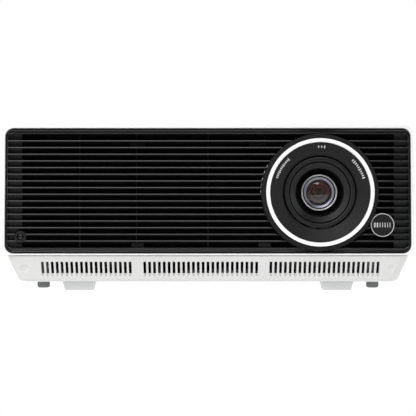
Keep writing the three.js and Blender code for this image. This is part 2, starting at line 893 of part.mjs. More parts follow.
function portSolid(name) {
  if (name.startsWith("hdmi")) return socket(16.4, 7.4, 14.4, 5, [5, 2.9, 4.1]);
  if (name === "usb_port") return socket(15, 7.6, 12.8, 5.4, [5.4, 4.4, 5.8]);
  if (name === "network_port") return socket(17, 14, 12.4, 9, [4.6, 9.4, 11]);
  const { backY, mouthY } = PORTS;
  const jack = joined(
    block([-6, backY, 0], [6, mouthY - 2, 11]),
    bar("y", 4, mouthY - 3, mouthY, [0, 0, 5.5]),
  );
  return jack.subtract(bar("y", 1.8, mouthY - 16, mouthY + 1, [0, 0, 5.5], 12));
}

// The panel closes the rear window and has one close-fitting hole for each port.
function ports() {
  const clear = GAP;
  const frameY = 139;
  let panel = block([-66, frameY, 34], [122, CASE.shellBackY - GAP, 72]);
  panel = panel.add(block([-63.6, frameY, 36.4], [119.6, 142.6, 69.6]));
  const pieces = portPlaces.map(({ name, x, width, height }) => {
    const low = [x - width / 2 - clear, frameY - 1, PORTS.floorZ - clear];
    const high = [x + width / 2 + clear, 146, PORTS.floorZ + height + clear];
    panel = panel.subtract(block(low, high));
    return part(name, portSolid(name), blackMatte, [x, 0, PORTS.floorZ]);
  });
  return [part("port_panel", panel, blackMatte), ...pieces];
}

// The mains inlet: a recessed mouth with three contact blades, screwed behind the rear cover.
function mainsInlet() {
  const mouth = 144.6;
  const floor = 128;
  let inlet = joined(
    block([-116, 118, 40], [-84, mouth, 66]),
    block([-126, 136, 42], [-74, CASE.shellBackY - GAP, 64]),
  );
  inlet = inlet.subtract(block([-112, floor, 45], [-88, mouth + 1, 61]));
  for (const [x, z] of [
    [-107, 50.5],
    [-93, 50.5],
    [-100, 55.5],
  ]) {
    inlet = inlet.add(block([x - 1, floor - 1, z - 2], [x + 1, floor + 8, z + 2]));
  }
  return part("mains_inlet", inlet, blackMatte);
}

function speakers() {
  const driver = turned(
    [
      [0, 116],
      [12, 116],
      [12, 124],
      [20, 134],
      [20, 139.5],
      [17.5, 139.5],
      [8, 132],
      [0, 130],
    ],
    24,
  );
  return ["left", "right"].map((side) => {
    const x = side === "left" ? -148 : 148;
    return part(`speaker_${side}`, driver, paperCone, [x, 0, 98]);
  });
}

// ---------------------------------------------------------------- control button

// A thumb control that presses down and tilts four ways on a gimbal.
function joystick() {
  const top = CASE.topZ - JOYSTICK.pivotZ;
  const cup = cut(
    joined(
      bar("z", 16, top - 3.4, top, [0, 0, 0], 24),
      bar("z", 14.5, -10, top - 3, [0, 0, 0], 24),
    ),
    bar("z", 11.6, -8, top + 1, [0, 0, 0], 24),
    bar("y", 1.5, -13, 13, [0, 0, 0], 8),
  );
  const gimbal = cut(
    joined(
      cut(bar("z", 8.6, -2.2, 2.2), bar("z", 5.6, -3, 3)),
      bar("y", 1.1, 7, 12.8, [0, 0, 0], 8),
      bar("y", 1.1, -12.8, -7, [0, 0, 0], 8),
    ),
    bar("x", 1.4, -10, 10, [0, 0, 0], 8),
  );
  const rocker = joined(
    bar("z", 2.6, -5, 9, [0, 0, 0], 12),
    bar("x", 1, -8, 8, [0, 0, 0], 8),
  );
  const cap = cut(
    joined(
      bar("z", 9.9, top - 4.2, top, [0, 0, 0], 24),
      bar("z", 4.4, 4.4, top - 4),
    ),
    bar("z", 2.9, 4, 10.6, [0, 0, 0], 12),
    solid(new THREE.SphereGeometry(30, 24, 24).rotateX(Math.PI / 2).translate(0, 0, top + 29)),
  );
  const { x, y, pivotZ } = JOYSTICK;
  return assembly(
    [x, y, pivotZ],
    part("joystick_bezel", cup, ringBlack),
    part("joystick_gimbal", gimbal, steel),
    part("joystick_rocker", rocker, steel),
    part("joystick_cap", cap, whiteShell),
  );
}

function statusLight() {
  const { x, y } = JOYSTICK;
  const window = block([x - 8, y - 32.5, CASE.topZ - 5], [x + 8, y - 29.5, CASE.topZ - 0.2]);
  return part("status_light", window, lightPipe);
}

// ---------------------------------------------------------------- the projector

const projector = new THREE.Group();
projector.add(
  frontBezel(),
  upperCover(),
  lowerCase(),
  rearCover(),
  ...legs(),
  ...frontFeet(),
  ...caseScrews(),
  frontGrille(),
  ...receiverAndEmblem(),
  dustFilter(),
  lensAssembly(),
  basePlate(),
  lightEngine(),
  ...laserAndSink(),
  phosphorWheel(),
  ...fans(),
  powerSupply(),
  mainBoard(),
  ...ports(),
  mainsInlet(),
  ...speakers(),
  joystick(),
  statusLight(),
);

export default projector;
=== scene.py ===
"""A home projector: its visible shells, grille, lens and controls, built in mesh code round the CAD frame.

Shapes are written in millimetres and scaled to metres when a mesh becomes an object."""
import json
import math

import bmesh
import bpy
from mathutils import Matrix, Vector


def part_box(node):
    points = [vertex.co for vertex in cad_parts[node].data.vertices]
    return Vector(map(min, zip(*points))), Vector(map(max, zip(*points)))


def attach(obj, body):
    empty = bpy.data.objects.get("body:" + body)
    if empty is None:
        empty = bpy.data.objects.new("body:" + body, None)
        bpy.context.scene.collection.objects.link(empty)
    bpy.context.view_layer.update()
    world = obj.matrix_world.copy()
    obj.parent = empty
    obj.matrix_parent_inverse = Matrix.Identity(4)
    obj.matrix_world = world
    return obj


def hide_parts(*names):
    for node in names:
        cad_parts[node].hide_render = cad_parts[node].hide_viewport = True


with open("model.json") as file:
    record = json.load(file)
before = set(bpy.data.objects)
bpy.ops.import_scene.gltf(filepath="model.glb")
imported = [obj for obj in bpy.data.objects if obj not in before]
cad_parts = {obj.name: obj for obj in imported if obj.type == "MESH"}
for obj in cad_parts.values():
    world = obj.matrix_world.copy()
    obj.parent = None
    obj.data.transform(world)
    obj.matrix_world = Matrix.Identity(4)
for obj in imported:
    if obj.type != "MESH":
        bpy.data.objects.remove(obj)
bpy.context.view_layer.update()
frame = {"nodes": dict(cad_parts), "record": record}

TO_METRES = 0.001
GAP = 0.3  # the play that the CAD leaves between pieces that touch


def lo(node):
    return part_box(node)[0] / TO_METRES


def hi(node):
    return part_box(node)[1] / TO_METRES


def middle(node):
    return (lo(node) + hi(node)) / 2


def limits(node):
    return lo(node), hi(node)


def y_limits(node):
    return lo(node).y, hi(node).y


# ------ places and driving dimensions

CASE_LO = lo("front_bezel")
CASE_HI = hi("front_bezel")
TOP_NARROWING = 1.2  # the case is this much narrower at the top, on each side
CASE_CORNER = 9
WALL = 2.6
PANEL_LO = lo("front_grille")
PANEL_HI = hi("front_grille")
PANEL_CORNER = 7.5
PANEL_NARROWING = 0.8  # and so is the black panel
LENS = middle("focus_ring")  # the lens axis runs along Y through here
TRAY_LO = lo("lower_case")
TRAY_HI = hi("lower_case")
TRAY_FLOOR = hi("front_leg_left").z + GAP
JOYSTICK = middle("joystick_cap")
TOP_Z = CASE_HI.z
REAR_Y = hi("rear_cover").y
SHELL_BACK = lo("rear_cover").y
FOOT_X = middle("front_foot_right").x
FEET = [(x, middle("front_foot_left").y) for x in (-FOOT_X, FOOT_X)]
POSTS = [(x, y) for x in (-155, 155) for y in (-92, 98)]  # the case screws run up into these
PADS = [(x, y) for x in (-75, 75) for y in (-70, 70)]  # for a ceiling bracket
RECEIVER = middle("ir_receiver_bezel")
RECEIVER_RADIUS = (hi("ir_receiver_bezel").x - lo("ir_receiver_bezel").x) / 2
EMBLEM = middle("grille_emblem")
EMBLEM_RADIUS = (hi("grille_emblem").x - lo("grille_emblem").x) / 2
SHARP_ANGLE = math.radians(32)  # flatter edges are shaded smooth
BEVEL_ANGLE = math.radians(40)  # flatter edges are not rounded

# ------ shape helpers


def rounded(corners, steps=8):
    """The points of an outline through corners (u, v, radius), each corner rounded."""
    points = []
    for i, (u, v, radius) in enumerate(corners):
        corner = Vector((u, v))
        if not radius:
            points.append(corner)
            continue
        to_last = (Vector(corners[i - 1][:2]) - corner).normalized()
        to_next = (Vector(corners[(i + 1) % len(corners)][:2]) - corner).normalized()
        half = to_last.angle(to_next) / 2
        centre = corner + (to_last + to_next).normalized() * radius / math.sin(half)
        reach = radius / math.tan(half)
        start = corner + to_last * reach - centre
        end = corner + to_next * reach - centre
        sweep = start.angle(end)
        for k in range(steps + 1):
            share = k / steps
            blend = start * math.sin((1 - share) * sweep) + end * math.sin(share * sweep)
            points.append(centre + blend / math.sin(sweep))
    return points


def box_outline(u0, v0, u1, v1, radius=0.0, steps=6):
    return rounded([(u0, v0, radius), (u1, v0, radius), (u1, v1, radius), (u0, v1, radius)], steps)


def slot_outline(u, v, half_u, half_v, steps=6):
    """A slot with round ends."""
    radius = min(half_u, half_v) * 0.995
    return box_outline(u - half_u, v - half_v, u + half_u, v + half_v, radius, steps)


def tapered_outline(bottom, top, low, high, radius):
    """An upright outline whose half width goes from bottom to top."""
    corners = [(-bottom, low), (bottom, low), (top, high), (-top, high)]
    return rounded([(u, v, radius) for u, v in corners], 10)


def from_level(level, *points):
    """Section points of (radius, distance past the level), as (radius, place along the axis)."""
    return [(radius, level + distance) for radius, distance in points]


def skin(bm, rings, closed=False):
    """Joins rings of vertices in order; a ring of one vertex is a pole."""
    following = rings[1:] + rings[:1] if closed else rings[1:]
    for ring, after in zip(rings, following):
        count = max(len(ring), len(after))
        for i in range(count):
            j = (i + 1) % count
            corners = [ring[i % len(ring)], ring[j % len(ring)], after[j % len(after)], after[i % len(after)]]
            corners = list(dict.fromkeys(corners))
            if len(corners) > 2:
                bm.faces.new(corners)


def turned(section, centre, axis="y", sides=96):
    """A body turned about an axis through centre, from its closed section of (radius, place along it)."""
    bm = bmesh.new()

    def place(radius, along, angle):
        side, up = radius * math.sin(angle), radius * math.cos(angle)
        if axis == "y":
            return (centre[0] + side, along, centre[2] + up)
        if axis == "x":
            return (along, centre[1] + side, centre[2] + up)
        return (centre[0] + side, centre[1] + up, along)

    rings = []
    for radius, along in section:
        count = sides if radius > 1e-4 else 1
        rings.append([bm.verts.new(place(radius, along, math.tau * i / sides)) for i in range(count)])
    skin(bm, rings, closed=True)
    return bm


def bar(radius, low, high, centre, axis="z", sides=32):
    return turned([(0, low), (radius, low), (radius, high), (0, high)], centre, axis, sides)


def bars(radius, low, high, spots):
    """Upright bars at places (x, y)."""
    return [bar(radius, low, high, (x, y, 0)) for x, y in spots]


def loft(levels, bm=None):
    """A closed body through rings of points, capped at both ends."""
    bm = bm or bmesh.new()
    rings = [[bm.verts.new(point) for point in level] for level in levels]
    skin(bm, rings)
    bm.faces.new(rings[0])
    bm.faces.new(rings[-1])
    return bm


def prism(outline, near, far, axis="y", bm=None):
    """An outline made solid between two places on an axis."""
    def place(point, along):
        u, v = point
        return {"x": (along, u, v), "y": (u, along, v), "z": (u, v, along)}[axis]

    return loft([[place(point, along) for point in outline] for along in (near, far)], bm)


def box(low, high, bm=None):
    return prism(box_outline(low[0], low[1], high[0], high[1]), low[2], high[2], "z", bm)


def band(outer, inner, section):
    """A ring standing in XZ. Its section is (t, y), with t = 0 on the outer outline and 1 on the inner."""
    bm = bmesh.new()
    rings = []
    for t, y in section:
        points = [a.lerp(b, t) for a, b in zip(outer, inner)]
        rings.append([bm.verts.new((point.x, y, point.y)) for point in points])
    skin(bm, rings, closed=True)
    return bm


def merged(*parts):
    """Separate shapes put together in one bmesh."""
    whole = bmesh.new()
    for part in parts:
        mesh = bpy.data.meshes.new("part")
        part.to_mesh(mesh)
        part.free()
        whole.from_mesh(mesh)
        bpy.data.meshes.remove(mesh)
    return whole


def to_object(name, bm):
    bmesh.ops.recalc_face_normals(bm, faces=bm.faces)
    bmesh.ops.scale(bm, vec=(TO_METRES,) * 3, verts=bm.verts)
    mesh = bpy.data.meshes.new(name)
    bm.to_mesh(mesh)
    bm.free()
    obj = bpy.data.objects.new(name, mesh)
    bpy.context.scene.collection.objects.link(obj)
    return obj


def settle(obj):
    """The object's modifiers become its mesh."""
    depsgraph = bpy.context.evaluated_depsgraph_get()
    mesh = bpy.data.meshes.new_from_object(obj.evaluated_get(depsgraph))
    obj.modifiers.clear()
    obj.data = mesh


def combine(obj, tool_bm, operation="DIFFERENCE"):
    """Cuts a shape out of the object, or joins it on."""
    tool = to_object(obj.name + "_tool", tool_bm)
    modifier = obj.modifiers.new("combine", "BOOLEAN")
    modifier.operation = operation
    modifier.solver = "MANIFOLD"
    modifier.object = tool
    settle(obj)
    bpy.data.objects.remove(tool)


def soften(obj, width, segments=2):
    """Rounds the object's sharp edges."""
    modifier = obj.modifiers.new("soften", "BEVEL")
    modifier.width = width * TO_METRES
    modifier.segments = segments
    modifier.limit_method = "ANGLE"
    modifier.angle_limit = BEVEL_ANGLE
    settle(obj)


def finish_piece(obj, slot, nodes=(), body="case", material=None):
    """Shades the piece, gives it its material and hangs it on its body."""
    mesh = obj.data
    mesh.materials.clear()
    mesh.materials.append(material or MATERIALS[slot])
    mesh.polygons.foreach_set("use_smooth", [True] * len(mesh.polygons))
    mesh.set_sharp_from_angle(angle=SHARP_ANGLE)
    modifier = obj.modifiers.new("level", "WEIGHTED_NORMAL")  # broad faces stay flat beside rounded edges
    modifier.keep_sharp = True
    settle(obj)
    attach(obj, body)
    if nodes:
        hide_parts(*nodes)


def piece(name, bm, slot, nodes=(), body="case", material=None, round_edges=0.0):
    obj = to_object(name, bm)
    if round_edges:
        soften(obj, round_edges)
    finish_piece(obj, slot, nodes, body, material)


# ------ materials


NOISE_LOW, NOISE_HIGH = 0.3, 0.7  # nearly all of a noise texture's values lie between these


class Shader:
    """A material with one Principled shader and helpers for its procedural nodes."""

    def __init__(self, name, **values):
        self.material = bpy.data.materials.new(name)
        self.material.use_nodes = True
        self.tree = self.material.node_tree
        self.surface = self.tree.nodes["Principled BSDF"]
        self.place = self.node("ShaderNodeTexCoord").outputs["Object"]
        for key, value in values.items():
            self.surface.inputs[key].default_value = value

    def node(self, kind, **inputs):
        node = self.tree.nodes.new(kind)
        for key, value in inputs.items():
            self.feed(node.inputs[key], value)
        return node

    def feed(self, socket, value):
        if isinstance(value, bpy.types.NodeSocket):
            self.tree.links.new(value, socket)
        else:
            socket.default_value = value

    def drive(self, name, value):
        self.feed(self.surface.inputs[name], value)

    def noise(self, scale, detail=3, place=None):
        vector = place or self.place
        return self.node("ShaderNodeTexNoise", Vector=vector, Scale=scale, Detail=detail).outputs["Fac"]

    def ramp(self, factor, *stops):
        """A smooth change through stops of (position, colour)."""
        node = self.node("ShaderNodeValToRGB", Fac=factor)
        elements = node.color_ramp.elements
        while len(elements) < len(stops):
            elements.new(0.5)
        for element, (position, colour) in zip(elements, stops):
            element.position = position
            element.color = (*colour, 1)
        return node.outputs["Color"]

    def tones(self, noise, first, second):
        """A colour that goes with a noise."""
        return self.ramp(noise, (NOISE_LOW, first), (NOISE_HIGH, second))

    def mapped(self, value, low, high, from_low=NOISE_LOW, from_high=NOISE_HIGH):
        node = self.node("ShaderNodeMapRange", Value=value)
        limits = {"From Min": from_low, "From Max": from_high, "To Min": low, "To Max": high}
        for key, number in limits.items():
            node.inputs[key].default_value = number
        return node.outputs["Result"]

    def maths(self, operation, a, b=0.0):
        node = self.tree.nodes.new("ShaderNodeMath")
        node.operation = operation
        self.feed(node.inputs[0], a)
        self.feed(node.inputs[1], b)
        return node.outputs["Value"]

    def mixed(self, share, first, second):
        node = self.tree.nodes.new("ShaderNodeMix")
        node.data_type = "RGBA"
        colours = [socket for socket in node.inputs if socket.type == "RGBA"]
        self.feed(node.inputs["Factor"], share)
        self.feed(colours[0], first)
        self.feed(colours[1], second)
        return next(socket for socket in node.outputs if socket.type == "RGBA")

    def roughen(self, noise, low, high):
        self.drive("Roughness", self.mapped(noise, low, high))

    def bump(self, height, distance, strength=1.0):
        node = self.node("ShaderNodeBump", Height=height, Strength=strength)
        node.inputs["Distance"].default_value = distance * TO_METRES
        self.drive("Normal", node.outputs["Normal"])

    def stretched(self, x, y, z):
        """Object coordinates scaled along each axis, for brushed and ribbed finishes."""
        node = self.node("ShaderNodeMapping", Vector=self.place)
        node.inputs["Scale"].default_value = (x, y, z)
        return node.outputs["Vector"]

    def from_axis(self, centre, axis="y"):
        """Distance from an axis through centre in millimetres, and the offsets it is made of."""
        parts = self.node("ShaderNodeSeparateXYZ", Vector=self.place)
        names = {"y": ("X", "Z"), "x": ("Y", "Z"), "z": ("X", "Y")}[axis]
        offsets = []
        for name in names:
            in_mm = self.maths("DIVIDE", parts.outputs[name], TO_METRES)
            offsets.append(self.maths("SUBTRACT", in_mm, getattr(centre, name.lower())))
        squares = [self.maths("MULTIPLY", offset, offset) for offset in offsets]
        return self.maths("SQRT", self.maths("ADD", *squares)), offsets


def tint(colour, share):
    return tuple(min(1.0, channel * share) for channel in colour)


def moulded(name, colour, roughness, grain=2600, depth=0.03, variation=0.05, **values):
    """Moulded plastic: a fine spark-eroded grain, and slow changes of tone and gloss."""
    shader = Shader(name, **values)
    slow = shader.noise(14)
    fine = shader.noise(grain, detail=4)
    shader.drive("Base Color", shader.tones(slow, tint(colour, 1 - variation), tint(colour, 1 + variation)))
    shader.roughen(slow, roughness * 0.9, roughness * 1.12)
    shader.bump(fine, depth, 0.5)
    return shader.material


def metal(name, colour, roughness):
    """Metal with brush marks along one direction."""
    shader = Shader(name, Metallic=1.0)
    marks = shader.noise(1, detail=5, place=shader.stretched(60, 60, 2400))
    shader.drive("Base Color", shader.tones(marks, tint(colour, 0.86), tint(colour, 1.08)))
    shader.roughen(marks, roughness * 0.8, roughness * 1.25)
    shader.bump(marks, 0.01, 0.4)
    return shader.material


def lathe_metal(name, colour, roughness):
    """Metal with fine turning marks round the lens axis."""
    shader = Shader(name, Metallic=1.0)
    radius, _ = shader.from_axis(LENS)
    line = shader.node("ShaderNodeCombineXYZ", X=radius).outputs["Vector"]
    marks = shader.noise(5, place=line)
    shader.drive("Base Color", shader.tones(marks, tint(colour, 0.92), tint(colour, 1.05)))
    shader.roughen(marks, roughness * 0.9, roughness * 1.1)
    shader.bump(marks, 0.004, 0.3)
    return shader.material


def circuit_board(name):
    """Green solder mask with lighter tracks and tinned pads."""
    shader = Shader(name, **{"Coat Weight": 0.3})
    tracks = shader.node("ShaderNodeTexBrick", Vector=shader.place, Scale=260.0)
    tracks.inputs["Color1"].default_value = (0.012, 0.1, 0.04, 1)
    tracks.inputs["Color2"].default_value = (0.02, 0.14, 0.055, 1)
    tracks.inputs["Mortar"].default_value = (0.05, 0.24, 0.1, 1)
    tracks.inputs["Mortar Size"].default_value = 0.03
    cells = shader.node("ShaderNodeTexVoronoi", Vector=shader.place, Scale=420.0).outputs["Distance"]
    pad = shader.maths("LESS_THAN", cells, 0.16)
    shader.drive("Base Color", shader.mixed(pad, tracks.outputs["Color"], (0.6, 0.58, 0.5, 1)))
    shader.drive("Metallic", pad)
    shader.roughen(shader.noise(60), 0.35, 0.55)
    shader.bump(tracks.outputs["Fac"], 0.05)
    return shader.material


def foam(name, colour):
    """Open-cell filter foam, its pores painted darker as painted shade."""
    shader = Shader(name, **{"Specular IOR Level": 0.1})
    cells = shader.node("ShaderNodeTexVoronoi", Vector=shader.place, Scale=900.0).outputs["Distance"]
    # darker at the middle of each cell, where the pores are: painted shade
    shader.drive("Base Color", shader.ramp(cells, (0.1, tint(colour, 0.3)), (0.7, tint(colour, 1.4))))
    shader.roughen(shader.noise(40), 0.85, 1.0)
    shader.bump(cells, 0.4)
    return shader.material


def phosphor_disc(name):
    """A metal disc with a yellow ring and a green ring near its rim."""
    shader = Shader(name)
    outer_radius = 30.0
    radius, _ = shader.from_axis(middle("phosphor_wheel"), "x")
    share = shader.maths("DIVIDE", radius, outer_radius)
    steel_tone, yellow, green = (0.6, 0.6, 0.6), (0.8, 0.62, 0.08), (0.35, 0.6, 0.12)
    bands = [(0.5, steel_tone), (0.53, yellow), (0.7, yellow), (0.72, green), (0.88, green)]
    shader.drive("Base Color", shader.ramp(share, *bands))
    grain = shader.noise(900)
    shader.roughen(grain, 0.5, 0.75)
    shader.bump(grain, 0.05)
    return shader.material


def paper_cone(name):
    """Pressed paper fibre."""
    shader = Shader(name)
    fibres = shader.noise(1800, detail=5)
    shader.drive("Base Color", shader.tones(fibres, (0.01,) * 3, (0.04,) * 3))
    shader.roughen(fibres, 0.7, 0.9)
    shader.bump(fibres, 0.1)
    return shader.material


def lens_glass(name):
    """Coated optical glass."""
    shader = Shader(name, **{"Transmission Weight": 1.0, "IOR": 1.5})
    dust = shader.noise(700, detail=2)
    shader.drive("Base Color", shader.tones(dust, (0.93, 0.9, 0.96), (0.96, 0.93, 0.98)))
    shader.roughen(dust, 0.0, 0.02)
    shader.bump(dust, 0.001, 0.2)
    return shader.material


def painted_lens_reflection(name):
    """The elements inside the lens, as a painted reflection: warm above, olive below, with darker rings."""
    shader = Shader(name, **{"Coat Weight": 0.6, "Coat Roughness": 0.05, "Specular IOR Level": 0.5})
    outer_radius, blend_half = 12.0, 4
    radius, (_, up) = shader.from_axis(LENS)
    share = shader.maths("DIVIDE", radius, outer_radius)
    # painted reflection: the bands stand in for light given back by the inner glass surfaces, with painted
    # shade at the middle and the rim
    dark = (0.012, 0.006, 0.005)
    warm = [(0.0, dark), (0.3, (0.04, 0.012, 0.008)), (0.42, (0.2, 0.06, 0.04)), (0.52, (0.05, 0.02, 0.015)),
            (0.66, (0.18, 0.075, 0.055)), (0.86, (0.11, 0.06, 0.045)), (0.95, dark)]
    olive = [(0.0, dark), (0.25, (0.16, 0.14, 0.09)), (0.4, (0.03, 0.02, 0.015)), (0.52, (0.1, 0.05, 0.035)),
             (0.62, (0.13, 0.11, 0.06)), (0.86, (0.075, 0.07, 0.05)), (0.95, dark)]
    # the upper half takes the warm bands and the lower half the olive ones: painted light from above
    lower = shader.mapped(up, 0.0, 1.0, blend_half, -blend_half)
    shader.drive("Base Color", shader.mixed(lower, shader.ramp(share, *warm), shader.ramp(share, *olive)))
    grain = shader.noise(120)
    shader.roughen(grain, 0.2, 0.28)
    shader.bump(grain, 0.0005, 0.1)
    return shader.material


MATERIALS = {
    "shell_white": moulded("shell_white", (0.84, 0.84, 0.835), 0.4, variation=0.01),
    "tray_grey": moulded("tray_grey", (0.65, 0.65, 0.645), 0.55, grain=1500, depth=0.09, variation=0.02),
    "leg_grey": moulded("leg_grey", (0.63, 0.64, 0.64), 0.6, grain=1800, depth=0.05, variation=0.02),
    "foot_rubber": moulded("foot_rubber", (0.17, 0.173, 0.176), 0.75, grain=1600, depth=0.08),
    "steel": metal("steel", (0.6, 0.61, 0.62), 0.34),
    "grille_black": moulded(
        "grille_black", (0.004, 0.004, 0.0045), 0.17, depth=0.006, **{"Coat Weight": 0.1}),
    "ring_black": moulded("ring_black", (0.008, 0.008, 0.009), 0.42, **{"Specular IOR Level": 0.3}),
    "matte_black": moulded("matte_black", (0.008, 0.008, 0.0085), 0.55, **{"Specular IOR Level": 0.22}),
    "filter_foam": foam("filter_foam", (0.006, 0.006, 0.0065)),
    "smoked_window": moulded("smoked_window", (0.004, 0.002, 0.003), 0.25, depth=0.002),
    "lens_cell_metal": lathe_metal("lens_cell_metal", (0.8, 0.8, 0.81), 0.32),
    "lens_glass": lens_glass("lens_glass"),
    "aluminium": metal("aluminium", (0.62, 0.63, 0.64), 0.38),
    "copper_brown": metal("copper_brown", (0.78, 0.38, 0.22), 0.3),
    "phosphor_yellow": phosphor_disc("phosphor_yellow"),
    "board_green": circuit_board("board_green"),
    "port_metal": metal("port_metal", (0.62, 0.61, 0.59), 0.25),
    "speaker_cone": paper_cone("speaker_cone"),
    "light_pipe": moulded(
        "light_pipe", (0.75, 0.82, 0.86), 0.25, depth=0.004, **{"Transmission Weight": 0.3}),
}
# finishes and painted light of single pieces, which share a slot with a plainer material
# painted reflection and shade for the inner lens element
PAINTED_LENS_REFLECTION = painted_lens_reflection("painted_lens_reflection")
BLUE_METAL = lathe_metal("blue_anodised", (0.4, 0.4, 0.47), 0.36)
RIM_METAL = lathe_metal("rim_metal", (0.42, 0.42, 0.43), 0.3)
TRIM_WHITE = moulded("trim_white", (0.95, 0.95, 0.945), 0.34, variation=0.01)
# near-black, darker than the other blacks: the part's own black and painted shade deep in the lens
VELVET_AND_SHADE = moulded("velvet_and_shade", (0.0015, 0.0015, 0.0015), 0.95, depth=0.02, **{"Specular IOR Level": 0.05})
WEB_BLACK = moulded("web_black", (0.034, 0.034, 0.037), 0.5, grain=700, variation=0.3)
SILVER_PRINT = moulded("silver_print", (0.62, 0.62, 0.62), 0.45, depth=0.004)


def dress_cad_nodes():
    """Every CAD node takes its slot's material."""
    for entry in frame["record"]["subparts"]:
        materials = frame["nodes"][entry["node"]].data.materials
        materials.clear()
        materials.append(MATERIALS[entry["material_slot"]])


# ------ case


def case_outline(inset=0.0):
    """The case seen from the front, moved inwards by inset."""
    bottom = CASE_HI.x - inset
    radius = max(CASE_CORNER - inset, 1.5)
    return tapered_outline(bottom, bottom - TOP_NARROWING, CASE_LO.z + inset, CASE_HI.z - inset, radius)


def panel_outline(margin=0.0):
    """The black panel seen from the front, moved outwards by margin."""
    bottom = PANEL_HI.x + margin
    radius = PANEL_CORNER + margin
    return tapered_outline(bottom, bottom - PANEL_NARROWING, PANEL_LO.z - margin, PANEL_HI.z + margin, radius)


def white_bezel():
    front, back = CASE_LO.y, CASE_HI.y
    face = from_level(
        front, (0, 1.1), (0.06, 0.55), (0.16, 0.2), (0.3, 0), (0.74, 0), (0.88, 0.15), (0.96, 0.4), (1, 0.8))
    bezel = band(case_outline(), panel_outline(GAP), [(0, back), *face, (1, back)])
    piece("white_bezel", bezel, "shell_white", ["front_bezel"])


def side_vents():
    """Upright slots through both side walls, as a cutting shape."""
    count, pitch, half_width, half_height = 12, 6, 1.5, 24
    middle_y, middle_z = 40, 88
    reach = CASE_HI.x + 2
    bm = bmesh.new()
    for i in range(count):
        y = middle_y + (i - (count - 1) / 2) * pitch
        prism(slot_outline(y, middle_z, half_width, half_height), -reach, reach, "x", bm)
    return bm


JOYSTICK_HOLE = 16.3  # radius
THROUGH_TOP = (TOP_Z - 6, TOP_Z + 1)


def white_cover():
    near, far = y_limits("upper_cover")
    section = [(0, near), (0, far), (1, far), (1, near)]
    cover = to_object("white_cover", band(case_outline(), case_outline(WALL), section))
    open_half = CASE_HI.x - CASE_CORNER
    light_lo, light_hi = limits("status_light")
    light_slot = box_outline(light_lo.x - GAP, light_lo.y - GAP, light_hi.x + GAP, light_hi.y + GAP, 1.7)
    holes = merged(
        box((-open_half, near - 1, CASE_LO.z - 1), (open_half, far + 1, CASE_LO.z + 6)),
        side_vents(),
        bar(JOYSTICK_HOLE, *THROUGH_TOP, JOYSTICK, sides=96),
        prism(light_slot, *THROUGH_TOP, "z"),
    )
    combine(cover, holes)
    soften(cover, 0.35)
    low_z = lo("upper_cover").z
    post_radius, bore_radius, bore_depth = 4.5, 1.8, 14
    combine(cover, merged(*bars(post_radius, low_z, TOP_Z - 1, POSTS)), "UNION")
    combine(cover, merged(*bars(bore_radius, low_z - 1, low_z + bore_depth, POSTS)))
    finish_piece(cover, "shell_white", ["upper_cover"])


def rear_vents():
    """Two round groups of slots for the speakers and one wide group between them, as a cutting shape."""
    near, far = SHELL_BACK - 1, REAR_Y + 1
    rows, pitch, low_z, half_height = 6, 7, 84, 1.3
    wide_x, wide_half, wide_rise = 5, 65, 1.3
    round_x, round_half, round_drop = 148, 18, 4.7
    bm = bmesh.new()
    for row in range(rows):
        z = low_z + row * pitch
        prism(slot_outline(wide_x, z + wide_rise, wide_half, half_height), near, far, "y", bm)
        reach = round_half * math.cos((row - (rows - 1) / 2) * 0.42)
        for x in (-round_x, round_x):
            prism(slot_outline(x, z - round_drop, reach, half_height), near, far, "y", bm)
    return bm


# openings in the rear wall, as (low x, low z, high x, high z, corner radius)
PORT_WINDOW = (-64, 36, 120, 70, 2)
INLET_WINDOW = (-116.3, 39.7, -83.7, 66.3, 1.5)
LOCK_SLOT = (150, 44, 157, 47, 0.8)


def white_rear():
    roll = 1.8
    arc = [(roll * (1 - math.cos(a)), roll * math.sin(a)) for a in (0, 0.4, 0.8, 1.2, math.pi / 2)]
    levels = [(SHELL_BACK, 0)] + [(REAR_Y - roll + rise, inset) for inset, rise in arc]
    rings = [[(p.x, y, p.y) for p in case_outline(inset)] for y, inset in levels]
    rear = to_object("white_rear", loft(rings))
    near, far = SHELL_BACK - 1, REAR_Y + 1
    windows = [prism(box_outline(*window), near, far) for window in (PORT_WINDOW, INLET_WINDOW, LOCK_SLOT)]
    combine(rear, merged(*windows, rear_vents()))
    soften(rear, 0.3)
    finish_piece(rear, "shell_white", ["rear_cover"])


TRAY_TAPER = 10.4  # how far the tray's side walls lean in from top to bottom
END_SHARE = 0.45  # its front and rear walls lean by this share of it
TRAY_CORNER = 9
SLOT_RUNS = [(-148.6, 19), (-56.8, 24), (56.5, 23)]  # the first slot's x, and the count
SLOT_PITCH = 4.37
SLOT_LEAN = 0.00034  # how much more a slot leans for each millimetre from the middle
SLOT = (1.25, 15.8, 26.2)  # half width, low z and high z
SCOOP = (0.8, 13.2, 15.3)  # the same, of the shallow scoop under each slot
SLOT_DEPTH = 12
SCOOP_DEPTH = 4.2
DIMPLE_RADIUS = 9
DIMPLE_STAND_OFF = 5.5  # from the tray's front to the sphere's centre
DIMPLE_PLACES = [(x, 18.5) for x in (-165, 165)]  # (x, z)


def tray_loft(levels):
    """A body through levels of (z, extra inset), on top of the walls' lean."""
    rings = []
    for z, inset in levels:
        lean = TRAY_TAPER * (TRAY_HI.z - z) / (TRAY_HI.z - TRAY_FLOOR)
        half_x = TRAY_HI.x - lean - inset
        near = TRAY_LO.y + lean * END_SHARE + inset
        far = TRAY_HI.y - lean * END_SHARE - inset
        outline = box_outline(-half_x, near, half_x, far, TRAY_CORNER, 8)
        rings.append([(p.x, p.y, z) for p in outline])
    return loft(rings)


def tray_slots(half_width, low, high, near, far):
    bm = bmesh.new()
    middle_z = (low + high) / 2
    for first, count in SLOT_RUNS:
        for i in range(count):
            x = first + i * SLOT_PITCH
            outline = box_outline(x - half_width, low, x + half_width, high, 0.35, 3)
            leaning = [(u + SLOT_LEAN * x * (v - middle_z), v) for u, v in outline]
            prism(leaning, near, far, "y", bm)
    return bm


